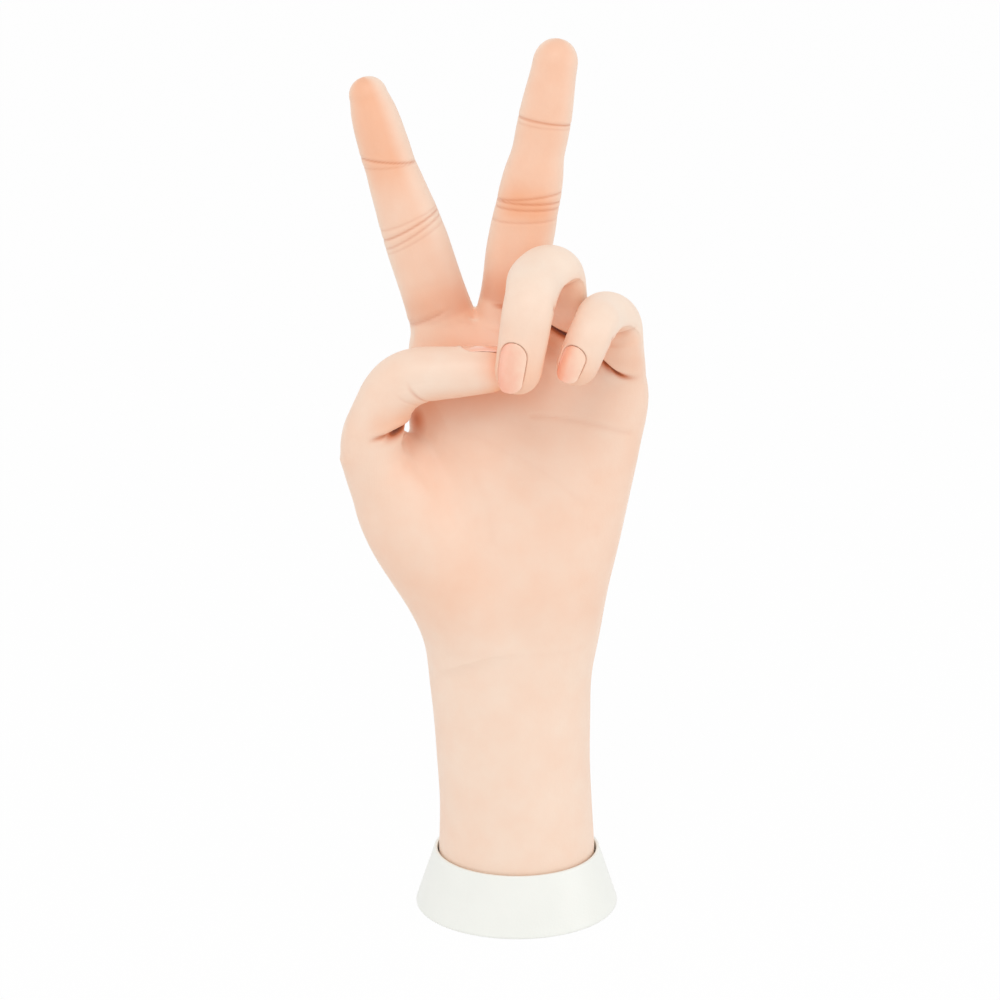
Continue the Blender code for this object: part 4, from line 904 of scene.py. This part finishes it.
def split_hand(mesh):
    """Cut the palm and the five roots from the one surface."""
    low, up, webs = cut_frame()
    for number, digit in enumerate(FINGERS):
        sides = [(point, -across) for point, across in webs[:number][-1:]] + webs[number:number + 1]
        cut_root(mesh, digit, [(low, -up)] + sides, "knuckle_skin", up + digit.aims[1])

    start = THUMB.knuckle - THUMB.aims[0] * THUMB_CUT_SHORT
    fold_side = unit(np.array(THUMB_FOLD_SIDE))
    fold_point = np.array(THUMB_FOLD_POINT)
    sides = [(start, -THUMB.aims[0]), (fold_point, -fold_side)]
    cut_root(mesh, THUMB, sides, "thumb_knuckle_joint_skin", THUMB.aims[0] + THUMB.aims[1])

    bm = bmesh.new()
    bm.from_mesh(mesh)
    keep_side(bm, low, up)
    for point, normal in ((start, THUMB.aims[0]), (fold_point, fold_side)):
        bmesh.ops.bisect_plane(bm, geom=bm.verts[:] + bm.edges[:] + bm.faces[:], dist=1e-7,
                               plane_co=point, plane_no=normal)
    gone = [f for f in bm.faces if (f.calc_center_median() - Vector(start)).dot(Vector(THUMB.aims[0])) > 0
            and (f.calc_center_median() - Vector(fold_point)).dot(Vector(fold_side)) > 0]
    bmesh.ops.delete(bm, geom=gone, context="FACES")
    cap_holes(bm, [e for e in bm.edges if e.is_boundary])
    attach(finish_skin("glove_palm", bm, ["palm_skin"]), "palm")


split_hand(build_hand())


# Skin of the fingers past their roots
# The same glove over each finger: soft pads and flexion creases on the palm side, fine wrinkles over the
# joints, and at the tip a moulded slot under a raised fold that the nail slides into.
AROUND = 216
RING_STEP = 0.00040
TIP_STEP = 0.00018            # finer rings round the nail's slot
TIP_CAP = 1.15               # length of a rounded fingertip against its radius
NAIL_SEAT_DEPTH = 0.0012
NAIL_SEAT_GAP = 0.00005
CUTICLE_SHARE = 0.3          # share of a nail's length that rounds off to the cuticle
NAIL_FOLD = 0.00022
FOLD_IN = {"ring": 0.0048, "little": 0.0034, "thumb": -0.0006}   # how far a bent joint's skin folds in
ARCH_LEAN = {"ring": (-0.0020, 0.0115, 0.0085), "little": (-0.0015, 0.0080, 0.0080)}   # and leans sideways
BEND_REACHES = (0.0072, 0.0062)   # how far the skin bends either side of a finger's two outer joints
THUMB_BEND_REACH = 0.0086         # and of the thumb's one
# Palm-side creases: joint, distance past it, slant, depth, width and colour, the colour being painted shade
# in them
CREASES = {
    "index": ((1, 0.0014, 0.20, 0.00026, 0.00045, 0.30), (1, -0.0008, 0.26, 0.00016, 0.00045, 0.20),
              (1, 0.0034, 0.10, 0.00010, 0.00045, 0.12), (1, -0.0026, 0.22, 0.00010, 0.00045, 0.10),
              (2, 0.0022, -0.38, 0.00026, 0.00045, 0.32), (2, 0.0006, -0.20, 0.00008, 0.00045, 0.12)),
    "middle": ((1, 0.0040, 0.30, 0.00018, 0.00045, 0.26), (1, 0.0024, 0.16, 0.00022, 0.00045, 0.30),
               (1, 0.0006, 0.16, 0.00018, 0.00045, 0.24), (1, -0.0030, 0.20, 0.00012, 0.00045, 0.14),
               (2, 0.0022, 0.02, 0.00030, 0.00045, 0.34), (2, 0.0008, 0.06, 0.00008, 0.00045, 0.10)),
    "ring": ((1, 0.0, 0.0, 0.00060, 0.00080, 0.15), (2, 0.0, 0.0, 0.00060, 0.00080, 0.4)),
    "little": ((1, 0.0, 0.0, 0.00060, 0.00080, 0.15), (2, 0.0, 0.0, 0.00060, 0.00080, 0.4)),
    "thumb": ((1, 0.0100, 0.80, 0.00030, 0.00080, 0.18), (1, 0.0040, 0.60, 0.00010, 0.00060, 0.06)),
}
WRINKLES = {"index": 1.0, "middle": 1.0, "ring": 0.10, "little": 0.10, "thumb": 0.08}


def nail_width(share):
    """Share of a nail's full width along it: round at the cuticle, a little rounded at the free edge."""
    share = np.clip(share, 0.0, 1.0)
    back = np.sqrt(1.0 - (1.0 - np.minimum(share / CUTICLE_SHARE, 1.0)) ** 2)
    past = np.clip((share - 0.8) / 0.2, 0.0, 1.0)
    return np.minimum(back, 0.5 + 0.5 * np.sqrt(1.0 - past ** 2))


def inside_nail(digit, share, off):
    """Distance inside a nail's outline, which runs straight on past the free edge."""
    wide = math.radians(digit.nail_spread) * digit.nail_outer
    a = np.maximum(np.abs(off) / digit.nail_spread, 1e-3)
    left = np.clip(1.0 - share / CUTICLE_SHARE, 0.0, None)
    slope = np.hypot(2.0 * left / (CUTICLE_SHARE * digit.nail_length), 2.0 * a / wide)
    return np.where(left > 0.0, (1.0 - left ** 2 - a ** 2) / slope, (1.0 - a) * wide)


def finger_relief(digit, on, turn, radius):
    """Radius, crease colour with painted shade, and warmth with painted shade and light, over a grid of
    distance along and angle round a digit.
    """
    past_root = on - digit.shift - digit.root_end
    fade = ease(past_root, 0.0002, 0.0035)
    palmar = ease(-np.sin(turn), -0.30, 0.45)
    dorsal = ease(np.sin(turn), 0.15, 0.75)
    across = radius * np.cos(turn)
    change = np.zeros_like(radius)
    crease = np.zeros_like(radius)
    joints = digit.joints + [digit.end - 0.004]
    for a, b in zip(joints, joints[1:]):
        middle = (a + b) / 2
        change += 0.00035 * hill(on - middle, (b - a) * 0.30) * np.clip(-np.sin(turn), 0.0, 1.0) ** 1.5
    for joint in digit.joints[1:]:
        change -= 0.00020 * hill(on - joint, 0.0030) * (1.0 - np.abs(np.sin(turn)))
    for joint, past, slant, deep, width, tone in CREASES[digit.name]:
        off = on - digit.joints[joint] - past - slant * across
        change -= deep * hill(off, width) * palmar
        rim = hill(off - 2.4 * width, 1.6 * width) + hill(off + 2.4 * width, 1.6 * width)
        change += deep * 0.25 * rim * palmar
        crease = np.maximum(crease, tone * hill(off, width * 0.7) * palmar)
    if digit.name in FOLD_IN:
        inner = np.clip(-np.sin(turn), 0.0, 1.0) ** 0.6
        change -= FOLD_IN[digit.name] * hill(on - digit.joints[1] - 0.0030, 0.0070) * inner
    for number, joint in enumerate(digit.joints[1:]):
        outermost = number == 1 or digit is THUMB
        count, pitch, deep = (3, 0.0012, 0.00012) if outermost else (5, 0.0016, 0.00022)
        for k in range(count):
            place = (k - (count - 1) / 2) * pitch
            bow = 0.25 * place * (across / 0.006) ** 2
            wave = 0.00030 * np.sin(across / 0.0021 + 1.9 * k) + 0.00022 * np.sin(across / 0.0009 + 2.7 * k)
            line = hill(on - joint - place - bow - wave, 0.00034) * dorsal * WRINKLES[digit.name]
            line = line * (0.62 + 0.38 * np.sin(across / 0.0017 + 2.3 * k))
            change -= deep * line
            # The wrinkles darken the colour as painted shade in them.
            crease = np.maximum(crease, 0.09 * line)
        change += 0.00035 * hill(on - joint, 0.0045) * dorsal
    crease = np.maximum(crease * fade, finger_shade(digit, on, turn))
    return radius + change * fade, crease, finger_warmth_and_shade(digit, on, turn)


def sweep_finger(digit):
    """A grid of points over a digit's skin from its root to its tip, with normals and colours."""
    cap = float(digit.radii[-1]) * TIP_CAP
    straight_end = digit.end - cap
    start = digit.stop
    fine = digit.end - digit.nail_back - 0.0015
    on = np.concatenate([np.linspace(start, fine, int((fine - start) / RING_STEP))[:-1],
                         np.linspace(fine, straight_end, int((straight_end - fine) / TIP_STEP))])
    turns = full_turn(AROUND)
    domes = np.radians(np.linspace(0.0, 90.0, 40))[1:]
    rings = np.concatenate([on, straight_end + cap * np.sin(domes)])
    shrink = np.concatenate([np.ones(len(on)), np.cos(domes) ** 0.92])
    shrink[-1] = 0.0
    radius = np.interp(np.minimum(rings, straight_end), digit.along, digit.radii)
    grid_on, grid_turn, grid_radius = (
        np.array(grid) for grid in np.broadcast_arrays(rings[:, None], turns[None], radius[:, None]))
    full, crease, warmth_and_shade = finger_relief(digit, grid_on, grid_turn, grid_radius)
    full = full * shrink[:, None]
    local = digit.lengths[-1] - (digit.end - grid_on)
    back = digit.lengths[-1] - digit.nail_back
    share = (local - back) / digit.nail_length
    off = np.degrees((grid_turn - math.radians(90.0 + digit.nail_roll) + math.pi) % math.tau - math.pi)
    edge = inside_nail(digit, share, off) + NAIL_SEAT_GAP
    seat = ease(edge, -0.00006, 0.00012)
    floor = np.minimum(full, digit.nail_outer - NAIL_SEAT_DEPTH)
    rim = NAIL_FOLD * hill(edge + 0.0005, 0.0006) * (1.0 - ease(share, 0.55, 0.95)) * (share > -0.3)
    full = (full + rim) * (1.0 - seat) + floor * seat
    ends = (0.05, 0.30) if digit is THUMB else (0.80, 0.95)
    # A faint line of painted shade in the groove round the nail's slot.
    crease = np.maximum(crease, 0.10 * hill(edge - 0.00005, 0.00022) * (1.0 - ease(share, *ends)))
    centre, across, backs = digit.at(rings)
    if digit.name in ARCH_LEAN:
        lean, past, reach = ARCH_LEAN[digit.name]
        lean = lean * hill(rings - digit.joints[1] - past, reach) * ease(rings - start, 0.0, 0.0080)
        centre = centre + across * lean[:, None]
    points = tube(centre, across, backs, full, grid_turn, depth=DEPTH_RATIO)
    closed = np.concatenate([points[:, -2:-1], points, points[:, 1:2]], axis=1)
    round_it = closed[:, 2:] - closed[:, :-2]
    along_it = np.gradient(points, axis=0)
    normals = np.cross(round_it, along_it)
    normals[-1] = digit.aims[-1]
    normals = unit(normals + 1e-15)
    outward = (normals * (points - centre[:, None])).sum(axis=2)[:-1]
    if outward.mean() < 0:
        normals[:-1] = -normals[:-1]
    return rings, points, normals, warmth_and_shade, crease


def sleeve(name, points, normals, warmth_and_shade, crease, replaced):
    """A piece of a finger's skin from rows of the grid, closed at its cut ends."""
    mesh = grid_mesh(points)
    keep_on_points(mesh, normals, warmth_and_shade, crease)
    bm = welded(mesh, 2e-7)
    for face in bm.faces:
        face.smooth = True
    cap_holes(bm, [e for e in bm.edges if e.is_boundary])
    bmesh.ops.recalc_face_normals(bm, faces=bm.faces)
    return finish_skin(name, bm, replaced)


def build_finger(digit):
    """A digit's skin past its root, one piece for each joint."""
    rings, points, normals, warmth_and_shade, crease = sweep_finger(digit)
    bodies = [f"{digit.name}_{bone}" for bone in ("proximal", "middle", "distal")]
    labels, reaches = ("middle", "tip"), BEND_REACHES
    skins = (("proximal_skin", "middle_joint_skin"), ("middle_skin", "tip_joint_skin", "distal_skin"))
    if digit is THUMB:
        bodies.pop(1)
        labels, reaches = ("tip",), (THUMB_BEND_REACH,)
        skins = (("proximal_skin", "tip_joint_skin", "distal_skin"),)
        cuts = (0, len(rings) - 1)
    else:
        cuts = (0, int(np.searchsorted(rings, (digit.joints[1] + digit.joints[2]) / 2)), len(rings) - 1)
    for k, (label, reach) in enumerate(zip(labels, reaches)):
        part = slice(cuts[k], cuts[k + 1] + 1)
        piece = sleeve(f"glove_{digit.name}_{label}", points[part], normals[part], warmth_and_shade[part],
                       crease[part], [f"{digit.name}_{skin_part}" for skin_part in skins[k]])
        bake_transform(piece)


for digit in DIGITS:
    build_finger(digit)


# Press-in nails
# Thin curved plates of glossy peach acrylic with a coral blush. Each slides on its tongue into the slot at
# the fingertip, and pulls off forwards to be changed.
NAIL_THICKNESS = 0.0008
NAIL_END_ROUND = 0.010       # share of a nail's length that thins out at each end
NAIL_SIDE_ROUND = 0.035      # and of its half width at each side


def nail_finish():
    """Glossy acrylic from peach to coral."""
    material, tree, shader = new_material("nail_acrylic", 0.16)
    shader.inputs["Coat Weight"].default_value = 0.8
    shader.inputs["Coat Roughness"].default_value = 0.05
    peach, coral = linear(255, 216, 190), linear(250, 168, 138)
    mottle = spread(tree, noise(tree, 260.0, 3.0), -0.12, 0.12)
    share = maths(tree, "ADD", attribute(tree, "blush"), mottle, clamp=True)
    tone = blend_colours(tree, share, peach, coral)
    coat(tree, shader, tone, (900.0, 0.12, 0.20))
    bumps(tree, shader, noise(tree, 350.0, 2.0), 0.00003, 0.6)
    return material


nail_gloss = nail_finish()


def build_nail(digit):
    """A plate from cross-section loops over the finger's back, thinned and rounded all round its edge."""
    length = digit.nail_length
    shares = 0.5 - 0.5 * np.cos(np.linspace(0.0, math.pi, 91))
    loop = full_turn(96)
    side = np.sign(np.cos(loop)) * np.abs(np.cos(loop)) ** 0.55
    lift = np.sign(np.sin(loop)) * np.abs(np.sin(loop)) ** 0.75
    share = np.repeat(shares[:, None], len(loop), axis=1)
    from_end = np.clip(np.minimum(share, 1.0 - share) / NAIL_END_ROUND, 0.0, 1.0)
    half = NAIL_THICKNESS / 2 * np.sqrt(1.0 - (1.0 - from_end) ** 2)
    half = half * np.clip((1.0 - np.abs(side)) / NAIL_SIDE_ROUND, 0.0, 1.0) ** 0.5
    back = digit.lengths[-1] - digit.nail_back
    on = back + length * (share - 0.05 * side ** 4 * share ** 5)
    turn = np.radians(90.0 + digit.nail_roll + digit.nail_spread * nail_width(share) * side)
    outer = digit.nail_outer - NAIL_THICKNESS / 2 - 0.0010 * share ** 3 + 0.00015 * np.sin(math.pi * share)
    outer = outer + half * lift
    knuckle_end = digit.tip - digit.aims[-1] * digit.lengths[-1]
    across, backs = digit.across[-1], digit.backs[-1]
    points = (knuckle_end + digit.aims[-1] * on[..., None] + across * (outer * np.cos(turn))[..., None]
              + backs * (outer * DEPTH_RATIO * np.sin(turn))[..., None])
    mesh = grid_mesh(points)
    lean = 0.0 if digit is THUMB else 0.42
    middle = 0.50 if digit is LITTLE else 0.68
    blush = np.clip(middle + lean * side - 0.35 * (1.0 - share), 0.0, 0.80)
    mesh.attributes.new("blush", "FLOAT", "POINT").data.foreach_set("value", blush.ravel())
    bm = welded(mesh, 2e-6)
    bmesh.ops.recalc_face_normals(bm, faces=bm.faces)
    for face in bm.faces:
        face.smooth = True
    nail = place_piece(f"{digit.name}_nail_plate", bm, nail_gloss, [f"{digit.name}_nail"])
    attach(nail, f"{digit.name}_nail")


for digit in DIGITS:
    build_nail(digit)


# Photographer's table, light and camera
# A plain white table under soft even light from in front and above, the camera a little above the hand.
CAMERA_TARGET = (-0.0051, 0.0, 0.12699)
CAMERA_DISTANCE = 1.0
CAMERA_PITCH = math.radians(16.0)
CAMERA_LENS = 122.04
TABLE_GLOW = 0.965           # how white the table looks to the camera
SKY_LIGHT = 0.72             # how much light comes from all round
LIGHT_TARGET = (0.0, 0.0, 0.15)
WHITE = (1.0, 1.0, 1.0, 1.0)


def white_to_camera(tree, output, plain, white, share):
    """Show the camera and mirrors a share of plain white, and everything else the plain shader."""
    tree.nodes.clear()
    path = tree.nodes.new("ShaderNodeLightPath").outputs
    seen = maths(tree, "MAXIMUM", path["Is Camera Ray"], path["Is Glossy Ray"])
    first, second = (add_node(tree, *shader).outputs[0] for shader in (plain, white))
    inputs = {"Fac": maths(tree, "MULTIPLY", seen, share), 1: first, 2: second}
    add_node(tree, output, {"Surface": add_node(tree, "ShaderNodeMixShader", inputs).outputs["Shader"]})


def lay_floor():
    bm = bmesh.new()
    bmesh.ops.create_circle(bm, cap_ends=True, segments=96, radius=8.0)
    bmesh.ops.translate(bm, verts=bm.verts, vec=(0.0, 0.0, -0.00005))
    floor = put_in_scene("table_top", to_mesh("table_top", bm))
    material = bpy.data.materials.new("table_white")
    material.use_nodes = True
    white_to_camera(material.node_tree, "ShaderNodeOutputMaterial",
                    ("ShaderNodeBsdfDiffuse", {"Color": (0.95, 0.95, 0.95, 1.0)}),
                    ("ShaderNodeEmission", {"Color": WHITE}), TABLE_GLOW)
    floor.data.materials.append(material)


def light_world(level):
    world = bpy.data.worlds.new("studio")
    bpy.context.scene.world = world
    world.use_nodes = True
    white_to_camera(world.node_tree, "ShaderNodeOutputWorld",
                    ("ShaderNodeBackground", {"Color": WHITE, "Strength": level}),
                    ("ShaderNodeBackground", {"Color": WHITE, "Strength": 1.0}), 1.0)


def soft_box(name, place, size, power):
    lamp = bpy.data.lights.new(name, "AREA")
    lamp.shape = "DISK"
    lamp.size = size
    lamp.energy = power
    thing = put_in_scene(name, lamp)
    thing.location = place
    aimed = Vector(LIGHT_TARGET) - Vector(place)
    thing.rotation_euler = aimed.to_track_quat("-Z", "Y").to_euler()


def set_camera():
    lens = bpy.data.cameras.new("camera")
    lens.lens = CAMERA_LENS
    lens.sensor_width = 36.0
    lens.clip_end = 60.0
    camera = put_in_scene("camera", lens)
    forward = Vector((0.0, math.cos(CAMERA_PITCH), -math.sin(CAMERA_PITCH)))
    camera.location = Vector(CAMERA_TARGET) - forward * CAMERA_DISTANCE
    camera.rotation_euler = forward.to_track_quat("-Z", "Y").to_euler()
    bpy.context.scene.camera = camera


lay_floor()
light_world(SKY_LIGHT)
soft_box("key", (-0.15, -0.85, 1.05), 0.6, 3.4)
soft_box("fill_left", (-1.0, -0.25, 0.30), 0.7, 0.5)
soft_box("fill_right", (1.0, -0.25, 0.30), 0.7, 1.5)
set_camera()
bpy.context.scene.view_settings.view_transform = "Standard"
